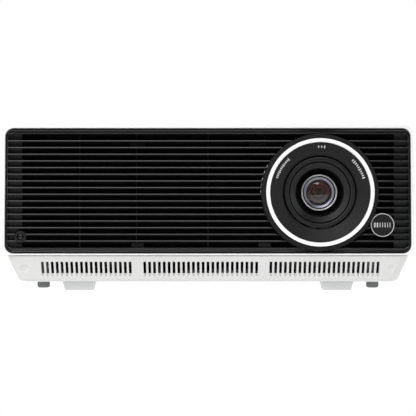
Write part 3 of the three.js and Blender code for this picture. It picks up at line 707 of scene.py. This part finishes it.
def tray_shell():
    """The open tray, with a rounded lower edge."""
    roll = 3
    edge = []
    for degrees in (90, 70, 50, 30, 15, 0):
        angle = math.radians(degrees)
        edge.append((TRAY_FLOOR + roll * (1 - math.sin(angle)), roll * (1 - math.cos(angle))))
    body = to_object("tray", tray_loft([*edge, (TRAY_HI.z - 0.4, 0.1), (TRAY_HI.z, 0.5)]))
    combine(body, tray_loft([(TRAY_FLOOR + WALL, WALL), (TRAY_HI.z + 1, WALL)]))
    return body


def tray():
    body = tray_shell()
    front = TRAY_LO.y
    combine(body, tray_slots(*SLOT, front - 1, front + SLOT_DEPTH))
    combine(body, tray_slots(*SCOOP, front - 1, front + SCOOP_DEPTH))
    boss_radius, pad_radius = 6, 7
    post_top, foot_top = 24, 26
    pad_low = lo("lower_case").z
    bosses = bars(boss_radius, TRAY_FLOOR + 1, post_top, POSTS)
    bosses += bars(boss_radius, TRAY_FLOOR + 1, foot_top, FEET)
    bosses += bars(pad_radius, pad_low, TRAY_FLOOR + 1, PADS)
    combine(body, merged(*bosses), "UNION")
    head_radius, screw_radius, stud_radius, tapping_radius = 4, 1.9, 3, 1.7
    holes = bars(head_radius, TRAY_FLOOR - 1, 16, POSTS)
    holes += bars(screw_radius, 15, post_top + 1, POSTS)
    holes += bars(stud_radius, TRAY_FLOOR - 1, foot_top + 1, FEET)
    holes += bars(tapping_radius, pad_low - 1, TRAY_FLOOR + WALL + 1, PADS)
    for hole in holes:
        combine(body, hole)
    for x, z in DIMPLE_PLACES:
        dimple = bmesh.new()
        bmesh.ops.create_uvsphere(dimple, u_segments=48, v_segments=24, radius=DIMPLE_RADIUS)
        bmesh.ops.translate(dimple, vec=(x, front - DIMPLE_STAND_OFF, z), verts=dimple.verts)
        combine(body, dimple)
    finish_piece(body, "tray_grey", ["lower_case"])


def legs():
    for name in ("front_leg_left", "front_leg_right", "rear_leg_left", "rear_leg_right"):
        low, high = limits(name)
        levels = [(0, 2.3), (0.25, 1.9), (0.7, 1.6), (high.z - 0.5, 0.05), (high.z, 0.3)]
        rings = []
        for z, inset in levels:
            outline = box_outline(low.x + inset, low.y + inset, high.x - inset, high.y - inset, 2.2)
            rings.append([(p.x, p.y, z) for p in outline])
        piece(name + "_moulded", loft(rings), "leg_grey", [name])


RIDGES = 24  # on each foot's knob


def knurled_ring(centre, z, radius, depth):
    """One level of a knob: a circle with hollows of the given depth between its ridges."""
    count = RIDGES * 6
    points = []
    for i in range(count):
        angle = math.tau * i / count
        r = radius - depth * (0.5 - 0.5 * math.cos(angle * RIDGES)) ** 2
        points.append((centre.x + r * math.cos(angle), centre.y + r * math.sin(angle), z))
    return points


def stud_section(low, high):
    """A threaded stud's section, with a ridge for each turn of a 1 mm pitch."""
    root, crest = 2.25, 2.65
    section = [(0, low - 0.2), (2.2, low - 0.2)]
    for i in range(int(high - low - 1)):
        section += [(root, low + i), (crest, low + i + 0.4), (crest, low + i + 0.6)]
    return section + [(2.2, high - 0.6), (1.8, high), (0, high)]


def feet():
    """Knurled knobs on threaded studs."""
    for side in ("left", "right"):
        body = "front_foot_" + side
        low, high = limits(body)
        centre = middle(body)
        radius = (high.x - low.x) / 2
        levels = [
            (low.z, radius - 1.4, 0), (low.z + 0.3, radius - 0.9, 0), (low.z + 0.9, radius - 0.2, 0.1),
            (low.z + 1.4, radius, 0.4), (high.z - 0.7, radius, 0.4), (high.z, radius - 0.4, 0.1),
        ]
        rings = [knurled_ring(centre, *level) for level in levels]
        piece(f"knob_{side}", loft(rings), "foot_rubber", [body], body)
        stud = "front_foot_stud_" + side
        thread = turned(stud_section(high.z, hi(stud).z), centre, "z", 32)
        piece(f"stud_{side}", thread, "steel", [stud], body)


def screws():
    """Case screws with a cross recess under the head."""
    head, shank = 3.5, 1.5
    recess_long, recess_thin, recess_depth = 1.9, 0.35, 1.6
    for number in range(1, len(POSTS) + 1):
        node = f"case_screw_{number}"
        centre = middle(node)
        low, high = lo(node).z, hi(node).z
        section = [
            (0, low), (2.2, low), (3.1, low + 0.4), (head, low + 1.1), (head, low + 3), (shank, low + 3),
            (shank, high - 1), (0, high),
        ]
        screw = to_object(f"screw_{number}", turned(section, centre, "z", 32))
        for half_x, half_y in ((recess_long, recess_thin), (recess_thin, recess_long)):
            low_corner = (centre.x - half_x, centre.y - half_y, low - 1)
            high_corner = (centre.x + half_x, centre.y + half_y, low + recess_depth)
            combine(screw, box(low_corner, high_corner))
        finish_piece(screw, "steel", [node])


# ------ front panel

LOUVRE_TOP = 134.8
LOUVRE_PITCH = 6
LOUVRES = 16
LOUVRE_NOSE = PANEL_LO.y + 0.6
LOUVRE_TAIL = PANEL_LO.y + 6.6
RIB_LOW, RIB_HIGH = PANEL_LO.z + 2, PANEL_HI.z - 2
RIB_PLACES = (-115.6, -64.5, 0)
CLIPS = ((-71, -57, 128.8), (37, 51.5, 128.8), (-69, -58, 38.2), (45.5, 56.5, 38.2))  # low x, high x, low z
CLIP_HEIGHT = 4.9
LENS_HOLE = 52.9  # radius
WEB_X, WEB_HALF = 174.4, 6.4  # the middle and half width of each end web


def panel_frame():
    """The glossy border round the louvres."""
    front, back = PANEL_LO.y, PANEL_HI.y
    low = LOUVRE_TOP - LOUVRE_PITCH * LOUVRES
    high = LOUVRE_TOP + LOUVRE_PITCH
    window = tapered_outline(PANEL_HI.x - 2, PANEL_HI.x - 2.8, low, high, 3)
    face = from_level(
        front, (0, 0.12), (0.03, 0), (0.26, 0), (0.3, 0.08), (0.42, 0.55), (0.46, 0.62), (0.74, 0.62),
        (0.78, 0.5), (0.86, 0.45), (0.94, 0.6), (0.985, 0.95), (1, 1.5))
    return to_object("grille", band(panel_outline(), window, [(0, back), *face, (1, back)]))


def louvres():
    nose, tail = LOUVRE_NOSE, LOUVRE_TAIL
    reach = PANEL_HI.x - 1
    blades = bmesh.new()
    for i in range(LOUVRES):
        z = LOUVRE_TOP - i * LOUVRE_PITCH
        corners = [(nose, z - 0.8, 0.35), (tail, z - 0.7, 0), (tail, z + 0.7, 0), (nose, z + 0.85, 1.1)]
        prism(rounded(corners, 6), -reach, reach, "x", blades)
    return blades


def ribs_and_clips():
    """Thin upright ribs and clip blocks behind the louvres."""
    back = PANEL_HI.y - 0.1
    shapes = bmesh.new()
    for x in RIB_PLACES:
        box((x - 0.5, LOUVRE_TAIL - 1, RIB_LOW), (x + 0.5, back, RIB_HIGH), shapes)
    for low_x, high_x, low_z in CLIPS:
        box((low_x, LOUVRE_TAIL - 0.5, low_z), (high_x, back, low_z + CLIP_HEIGHT), shapes)
    return shapes


def grille():
    front, back = PANEL_LO.y, PANEL_HI.y
    panel = panel_frame()
    combine(panel, louvres(), "UNION")
    combine(panel, ribs_and_clips(), "UNION")
    receiver_boss = [(0, front + 3), (6, front + 3), (6, back - 0.05), (0, back - 0.05)]
    combine(panel, turned(receiver_boss, RECEIVER), "UNION")
    combine(panel, bar(LENS_HOLE, front - 1, back + 1, LENS, "y", 128))
    combine(panel, bar(RECEIVER_RADIUS + GAP, front - 1, back + 1, RECEIVER, "y", 64))
    combine(panel, bar(EMBLEM_RADIUS + GAP, front - 1, hi("grille_emblem").y + GAP, EMBLEM, "y", 96))
    finish_piece(panel, "grille_black", ["front_grille"])
    end_webs(LOUVRE_TAIL + 0.4, back - 0.2, RIB_LOW + 0.5, RIB_HIGH - 0.5)


def end_webs(near, far, low_z, high_z):
    """The satin webs that close the grille's ends behind the louvres, each with three shallow ribs."""
    rib_offset, rib_half, receiver_clearance = 4, 0.8, 7
    webs = bmesh.new()
    for side in (-1, 1):
        x = side * WEB_X
        box((x - WEB_HALF, near + 0.5, low_z), (x + WEB_HALF, far, high_z), webs)
    body = to_object("grille_end_webs", webs)
    ribs = bmesh.new()
    for side in (-1, 1):
        for offset in (-rib_offset, 0, rib_offset):
            x = side * WEB_X + offset
            box((x - rib_half, near, low_z + 1), (x + rib_half, near + 1, high_z - 1), ribs)
    combine(body, ribs, "UNION")
    combine(body, bar(receiver_clearance, near - 1, far + 1, RECEIVER, "y", 64))
    soften(body, 0.2)
    finish_piece(body, "grille_black", material=WEB_BLACK)


def receiver():
    front, back = y_limits("ir_receiver_bezel")
    outer, inner = RECEIVER_RADIUS, 3.2
    lip = from_level(
        front, (outer, 0.5), (outer - 0.15, 0.15), (outer - 0.5, 0), (3.7, 0), (3.35, 0.2), (inner, 0.6))
    ring = turned([(outer, back), *lip, (inner, back)], RECEIVER, sides=64)
    piece("receiver_ring", ring, "ring_black", ["ir_receiver_bezel"])
    front, back = y_limits("ir_receiver_window")
    dome = from_level(front, (0, 0), (1, 0.07), (2, 0.35), (2.6, 0.75), (2.9, 1.2))
    window = turned([*dome, (2.9, back), (0, back)], RECEIVER, sides=64)
    piece("receiver_window", window, "smoked_window", ["ir_receiver_window"])


def emblem():
    """A round badge: a dark recessed disc, a light rim and a row of plain bars."""
    front, back = y_limits("grille_emblem")
    r = EMBLEM_RADIUS
    face = from_level(front, (0, 0.5), (r - 1.3, 0.5), (r - 1.3, 0.9), (r, 0.9))
    piece("badge_disc", turned([*face, (r, back), (0, back)], EMBLEM), "matte_black", ["grille_emblem"])
    rim = from_level(
        front, (r - 0.85, 0.8), (r - 0.85, 0.25), (r - 0.7, 0), (r - 0.4, 0), (r - 0.2, 0.25), (r - 0.2, 0.8))
    piece("badge_rim", turned(rim, EMBLEM), "ring_black", material=SILVER_PRINT)
    wide, narrow = (-7, -4.6), (-2.2, 0, 2.2, 4.4, 6.6)  # the bars' places along the row
    marks = bmesh.new()
    for offset in (*wide, *narrow):
        half_width = 0.6 if offset in wide else 0.28
        outline = slot_outline(EMBLEM.x + offset, EMBLEM.z, half_width, 2.2, 4)
        prism(outline, front + 0.25, front + 0.6, "y", marks)
    piece("badge_marks", marks, "ring_black", material=SILVER_PRINT)


# ------ projection lens


CONE_INNER = (33.5, 5.8)  # the dish's cone, as (radius, depth behind the dish's front)
CONE_OUTER = (43.4, 0.6)
TICK_GROUPS = ((84.5, 92, 3), (134, 161, 12), (18.5, 44.5, 10))  # first and last angle, and the count
LONG_TICK, SHORT_TICK = (39.6, 42.1), (40, 41.8)  # inner and outer radius


def lens_rings():
    """The fixed rings round the lens."""
    front, back = y_limits("lens_surround")
    lip = from_level(front, (48.7, 0.4), (49, 0), (51.6, 0), (52.2, 0.2), (52.5, 0.8))
    surround = [*lip, (52.5, back), (42, back), *from_level(front, (42, 7.8), (48.7, 7.8))]
    piece("lens_collar", turned(surround, LENS, sides=160), "matte_black", ["lens_surround"])
    front, back = y_limits("lens_trim_ring")
    face = from_level(
        front, (44.9, 1.1), (45.1, 0.5), (45.6, 0), (47.5, 0), (48.1, 0.25), (48.35, 0.7), (48.4, 1.3))
    trim = turned([(44.9, back), *face, (48.4, back)], LENS, sides=160)
    piece("lens_trim", trim, "shell_white", ["lens_trim_ring"], material=TRIM_WHITE)
    front, back = y_limits("lens_dish")
    rim = [(44.6, front), (44.6, back - 4), (42.5, back - 4)]
    outside = from_level(front, (42.5, 3.4), (34.8, 7.4))
    cone = from_level(front, (32.8, 6.6), (33, 6.2), CONE_INNER, CONE_OUTER, (43.9, 0.2))
    dish = turned([*rim, *outside, (34.8, back), (32.8, back), *cone], LENS, sides=160)
    piece("lens_dish_moulded", dish, "matte_black", ["lens_dish"])


def dish_surface(radius):
    """The y of the dish's cone at a distance from the lens axis."""
    (inner, deep), (outer, shallow) = CONE_INNER, CONE_OUTER
    return lo("lens_dish").y + deep + (radius - inner) * (shallow - deep) / (outer - inner)


def dish_marks():
    """Short printed ticks on the dish, in three groups, with every fourth one longer."""
    half, sunk, proud = 0.5, 0.1, 0.06
    marks = bmesh.new()
    for first, last, count in TICK_GROUPS:
        for i in range(count):
            angle = math.radians(first + (last - first) * i / (count - 1))
            inner, outer = LONG_TICK if i % 4 == 0 else SHORT_TICK
            corners = []
            for radius, side in ((inner, -half), (outer, -half), (outer, half), (inner, half)):
                turn = angle + side / radius
                x = LENS.x + radius * math.cos(turn)
                z = LENS.z + radius * math.sin(turn)
                corners.append((x, z, dish_surface(radius)))
            loft([[(x, y + shift, z) for x, z, y in corners] for shift in (-proud, sunk)], marks)
    piece("dish_ticks", marks, "matte_black", material=SILVER_PRINT)


def focus_ring():
    front, back = y_limits("focus_ring")
    face = from_level(
        front, (27.7, 1.2), (27.9, 0.8), (28.7, 0.1), (29, 0), (30.9, 0), (31.5, 0.25), (31.9, 0.9))
    grip = turned([(27.7, back), *face, (31.9, back)], LENS, sides=128)
    piece("focus_grip", grip, "ring_black", ["focus_ring"], "focus_ring")


def zoom_ring():
    front, back = y_limits("zoom_ring")
    face = from_level(
        front, (27.3, 0.8), (27.05, 0.25), (26.6, 0), (26.1, 0.3), (22.4, 3.35), (21.95, 3.65), (21.8, 4))
    grip = turned([(27.3, back), *face, (21.8, back)], LENS, sides=128)
    piece("zoom_grip", grip, "ring_black", ["zoom_ring"], "zoom_ring")


def barrel():
    """The tube that the lens cells slide in, and the metal rim round its mouth."""
    front, back = y_limits("lens_barrel")
    mouth = from_level(front, (21.4, 1.2), (20.7, 1.2), (20.7, 0), (17, 0), (16.6, 0.4))
    flange = from_level(back, (16.6, 0), (32, 0), (32, -7.4), (31.7, -7.7), (21.4, -7.7))
    # the tube's mouth is near-black: its own black and painted shade in the recess
    piece("lens_tube", turned(mouth + flange, LENS), "matte_black", ["lens_barrel"], material=VELVET_AND_SHADE)
    rim = from_level(
        front, (21.4, 1.1), (21.4, 0.55), (21.3, 0.4), (20.95, 0.05), (20.8, 0), (20.75, 0.1), (20.75, 1.1))
    piece("lens_tube_rim", turned(rim, LENS), "matte_black", material=RIM_METAL)


def front_lens():
    """The front cell with its groove and retaining ring, and the glass that moves with it."""
    front, back = y_limits("front_lens_cell")
    inside = from_level(
        front, (16.3, 0.35), (16.1, 0.05), (15.95, 0), (15.3, 0), (15.05, 0.2), (15, 1.9), (14, 2.3),
        (14, 12.6), (13, 12.6))
    cell = turned([(16.3, back), *inside, (13, back)], LENS)
    piece("front_cell_ring", cell, "lens_cell_metal", ["front_lens_cell"], "front_lens")
    # a near-black ring laid in the groove: painted shade where the groove is shadowed
    groove = from_level(front, (14.95, 1.5), (14.95, 0.8), (13.95, 1.3), (13.95, 1.85))
    piece("front_cell_groove_shade", turned(groove, LENS), "matte_black", (), "front_lens", VELVET_AND_SHADE)
    retainer = from_level(
        front, (13.85, 5.1), (13.85, 4.4), (13.1, 4.2), (13, 3.1), (12.7, 2.9), (12.4, 3), (11.5, 4),
        (11.5, 4.5), (12.4, 5.1))
    piece("front_cell_retainer", turned(retainer, LENS), "lens_cell_metal", (), "front_lens", BLUE_METAL)
    front, back = y_limits("front_lens_glass")
    glass = lens_section(13.6, front, 3.2, front + 4.6, 1.4)
    piece("front_glass", turned(glass, LENS), "lens_glass", ["front_lens_glass"], "front_lens")
    # the inner element's colour is a painted reflection of the lens's inner surfaces
    inner_element = lens_section(12.9, front + 5.2, 1.2, back, 0)
    piece("front_glass_inner", turned(inner_element, LENS), "lens_glass", (), "front_lens", PAINTED_LENS_REFLECTION)


def lens_section(radius, front, rise, back, hollow):
    """A lens element: a front dome of the given rise, and a back that curves in by hollow."""
    steps = 14
    section = []
    for i in range(steps + 1):
        share = i / steps
        section.append((radius * share, front + rise * share * share))
    for i in range(steps, -1, -1):
        share = i / steps
        section.append((radius * share, back - hollow * (1 - share * share)))
    return section


# ------ rear panel


VIDEO_MOUTH = [(-7.2, 2.9), (-7.2, 6.2), (7.2, 6.2), (7.2, 2.9), (5.6, 1.2), (-5.6, 1.2)]
USB_MOUTH = [(-6.4, 1.1), (6.4, 1.1), (6.4, 6.5), (-6.4, 6.5)]
NETWORK_MOUTH = [
    (-6.2, 2.6), (6.2, 2.6), (6.2, 9.5), (3.2, 9.5), (3.2, 11.2), (-3.2, 11.2), (-3.2, 9.5), (-6.2, 9.5),
]
SOCKETS = {  # node: its mouth, and its tongue as (low x, low z, high x, high z)
    "hdmi_port_1": (VIDEO_MOUTH, (-5, 2.9, 5, 4.1)),
    "hdmi_port_2": (VIDEO_MOUTH, (-5, 2.9, 5, 4.1)),
    "usb_port": (USB_MOUTH, (-5.4, 4.4, 5.4, 5.8)),
    "network_port": (NETWORK_MOUTH, (-4.6, 9.6, 4.6, 10.6)),
}


def rear_sockets():
    """The port panel and its sockets, each a shell round a mouth with a tongue inside."""
    low, high = limits("port_panel")
    face = SHELL_BACK - GAP
    panel = to_object("socket_panel", prism(box_outline(low.x, low.z, high.x, high.z, 1), low.y, face))
    play = 0.4  # round the raised step in its window
    x0, z0, x1, z1, _ = PORT_WINDOW
    step = box_outline(x0 + play, z0 + play, x1 - play, z1 - play, 1.8)
    combine(panel, prism(step, face - 0.5, high.y), "UNION")
    for name in (*SOCKETS, "audio_jack"):
        a, b = limits(name)
        hole = box_outline(a.x - GAP, a.z - GAP, b.x + GAP, b.z + GAP, 0.5)
        combine(panel, prism(hole, low.y - 1, high.y + 1))
    soften(panel, 0.2)
    finish_piece(panel, "matte_black", ["port_panel"])
    for node, (mouth, tongue) in SOCKETS.items():
        socket(node, mouth, tongue)


def socket(node, mouth, tongue):
    mouth_depth, tongue_root, tongue_tip = 14, 14.2, 4
    low, high = limits(node)
    centre_x = (low.x + high.x) / 2
    shell = to_object(node + "_shell", prism(box_outline(low.x, low.z, high.x, high.z, 0.5), low.y, high.y))
    outline = [(centre_x + u, low.z + v) for u, v in mouth]
    combine(shell, prism(outline, high.y - mouth_depth, high.y + 1))
    soften(shell, 0.15, 1)
    finish_piece(shell, "port_metal", [node])
    u0, v0, u1, v1 = tongue
    outline = box_outline(centre_x + u0, low.z + v0, centre_x + u1, low.z + v1, 0.25, 2)
    piece(node + "_tongue", prism(outline, high.y - tongue_root, high.y - tongue_tip), "matte_black")


def audio_jack():
    bore_radius, bore_depth = 1.8, 16
    low, high = limits("audio_jack")
    centre = middle("audio_jack")
    face = box_outline(low.x, low.z, high.x, high.z, 0.6)
    block = to_object("jack_body", prism(face, low.y, high.y - 2.2))
    collar = from_level(high.y, (0, -3), (4, -3), (4, -0.4), (3.6, 0), (0, 0))
    combine(block, turned(collar, centre, sides=48), "UNION")
    combine(block, bar(bore_radius, high.y - bore_depth, high.y + 1, centre, "y"))
    finish_piece(block, "matte_black", ["audio_jack"])


INLET_MOUTH = [(-112, 45), (-88, 45), (-88, 56.5), (-92.5, 61), (-107.5, 61), (-112, 56.5)]
INLET_BLADES = ((-107, 50.5), (-93, 50.5), (-100, 55.5))


def mains_inlet():
    mouth_floor, blade_tip, flange_inner = 128, 136, 136
    low, high = limits("mains_inlet")
    block = to_object("inlet_body", prism(box_outline(-116, 40, -84, 66, 1.5), low.y, high.y))
    flange = prism(box_outline(low.x, 42, high.x, 64, 1.5), flange_inner, SHELL_BACK - GAP)
    combine(block, flange, "UNION")
    mouth = rounded([(u, v, 0.8) for u, v in INLET_MOUTH], 4)
    combine(block, prism(mouth, mouth_floor, high.y + 1))
    soften(block, 0.25)
    finish_piece(block, "matte_black", ["mains_inlet"])
    blades = bmesh.new()
    for x, z in INLET_BLADES:
        prism(box_outline(x - 1, z - 2, x + 1, z + 2, 0.3, 2), mouth_floor - 0.5, blade_tip, "y", blades)
    piece("inlet_blades", blades, "port_metal", round_edges=0.2)


def speakers():
    """Speakers that face the rear."""
    for node in ("speaker_left", "speaker_right"):
        inner, outer = y_limits(node)
        basket = from_level(inner, (0, 0), (12, 0), (12, 8), (20, 18))
        cone = from_level(
            outer, (20, -0.3), (19.7, 0), (17.9, 0), (17.5, -0.4), (16.8, -1.6), (15.6, -1.9), (14.6, -1.4),
            (13.8, -2.4), (8, -7.5), (7, -7), (4.5, -5.6), (0, -4.8))
        shape = turned(basket + cone, middle(node), sides=64)
        piece(node + "_cone", shape, "speaker_cone", [node])


# ------ controls


def control_button():
    """The cup in the cover, with a bore for the gimbal's pin, and the cap that the thumb moves."""
    pin_radius, pin_half = 1.5, 13
    top, low = hi("joystick_bezel").z, lo("joystick_bezel").z
    rim = from_level(top, (16, -3.4), (16, -0.5), (15.6, 0), (12.2, 0), (11.7, -0.6), (11.6, -1.4))
    base = from_level(low, (11.6, 2), (0, 2), (0, 0), (14.5, 0))
    cup = to_object("control_cup", turned([*rim, *base, (14.5, top - 3.4)], JOYSTICK, "z"))
    pivot = (JOYSTICK.x, 0, low + 10)
    combine(cup, bar(pin_radius, JOYSTICK.y - pin_half, JOYSTICK.y + pin_half, pivot, "y"))
    finish_piece(cup, "ring_black", ["joystick_bezel"])
    top, low = hi("joystick_cap").z, lo("joystick_cap").z
    crown = from_level(
        top, (0, -1.5), (3, -1.35), (6, -0.9), (8.2, -0.35), (9, 0), (9.5, -0.1), (9.85, -0.6), (9.9, -1.2),
        (9.9, -4.2), (4.4, -4.2))
    stem = from_level(low, (4.4, 0), (2.9, 0), (2.9, 6.2), (0, 6.2))
    cap = turned(crown + stem, JOYSTICK, "z")
    piece("control_cap", cap, "shell_white", ["joystick_cap"], "joystick_cap")


def status_light():
    low, high = limits("status_light")
    window = prism(box_outline(low.x, low.y, high.x, high.y, 1.45), low.z, high.z, "z")
    piece("light_window", window, "light_pipe", ["status_light"], round_edges=0.2)


# ------ studio, in metres

SKY_GLOW = 0.06  # what the white surroundings give to surfaces; the camera sees them at full strength
FLOOR_GLOW = 0.92
CAMERA_PLACE = (0, -1.434, 0.0745)
FOCAL_LENGTH = 125


def area_light(name, place, target, size, power):
    data = bpy.data.lights.new(name, "AREA")
    data.shape = "RECTANGLE"
    data.size, data.size_y = size
    data.energy = power
    light = bpy.data.objects.new(name, data)
    light.location = place
    light.rotation_euler = (Vector(target) - Vector(place)).to_track_quat("-Z", "Y").to_euler()
    bpy.context.scene.collection.objects.link(light)


def studio_lights():
    area_light("key", (-0.3, -0.95, 1.05), (0, -0.1, 0.05), (1.3, 0.7), 16)
    area_light("left", (-1.25, -0.5, 0.5), (0, 0, 0.07), (0.7, 0.9), 5)
    area_light("right", (1.25, -0.5, 0.5), (0, 0, 0.07), (0.7, 0.9), 5)
    area_light("rear", (0.3, 1.25, 0.8), (0, 0.1, 0.07), (1.2, 0.6), 9)


def surroundings():
    world = bpy.data.worlds.new("studio")
    world.use_nodes = True
    tree = world.node_tree
    background = tree.nodes["Background"]
    rays = tree.nodes.new("ShaderNodeLightPath")
    strength = tree.nodes.new("ShaderNodeMapRange")
    strength.inputs["To Min"].default_value = SKY_GLOW
    strength.inputs["To Max"].default_value = 1.0
    tree.links.new(rays.outputs["Is Camera Ray"], strength.inputs["Value"])
    tree.links.new(strength.outputs["Result"], background.inputs["Strength"])
    background.inputs["Color"].default_value = (1, 1, 1, 1)
    bpy.context.scene.world = world
    bpy.context.scene.view_settings.view_transform = "Standard"


def pale_floor():
    floor = to_object("floor", prism(box_outline(-1500, -700, 1500, 420), -2, 0, "z"))
    shader = Shader("floor_white", **{"Specular IOR Level": 0.0, "Emission Strength": FLOOR_GLOW})
    shader.surface.inputs["Emission Color"].default_value = (1, 1, 1, 1)
    grain = shader.noise(3)
    shader.drive("Base Color", shader.tones(grain, (0.3,) * 3, (0.32,) * 3))
    shader.roughen(grain, 0.9, 1.0)
    floor.data.materials.append(shader.material)


def front_camera():
    data = bpy.data.cameras.new("camera")
    data.lens = FOCAL_LENGTH
    camera = bpy.data.objects.new("camera", data)
    camera.location = CAMERA_PLACE
    camera.rotation_euler = (math.pi / 2, 0, 0)
    bpy.context.scene.collection.objects.link(camera)
    bpy.context.scene.camera = camera


# ------ the projector

dress_cad_nodes()
white_bezel()
white_cover()
white_rear()
tray()
legs()
feet()
screws()
grille()
receiver()
emblem()
lens_rings()
dish_marks()
focus_ring()
zoom_ring()
barrel()
front_lens()
rear_sockets()
audio_jack()
mains_inlet()
speakers()
control_button()
status_light()
studio_lights()
surroundings()
pale_floor()
front_camera()
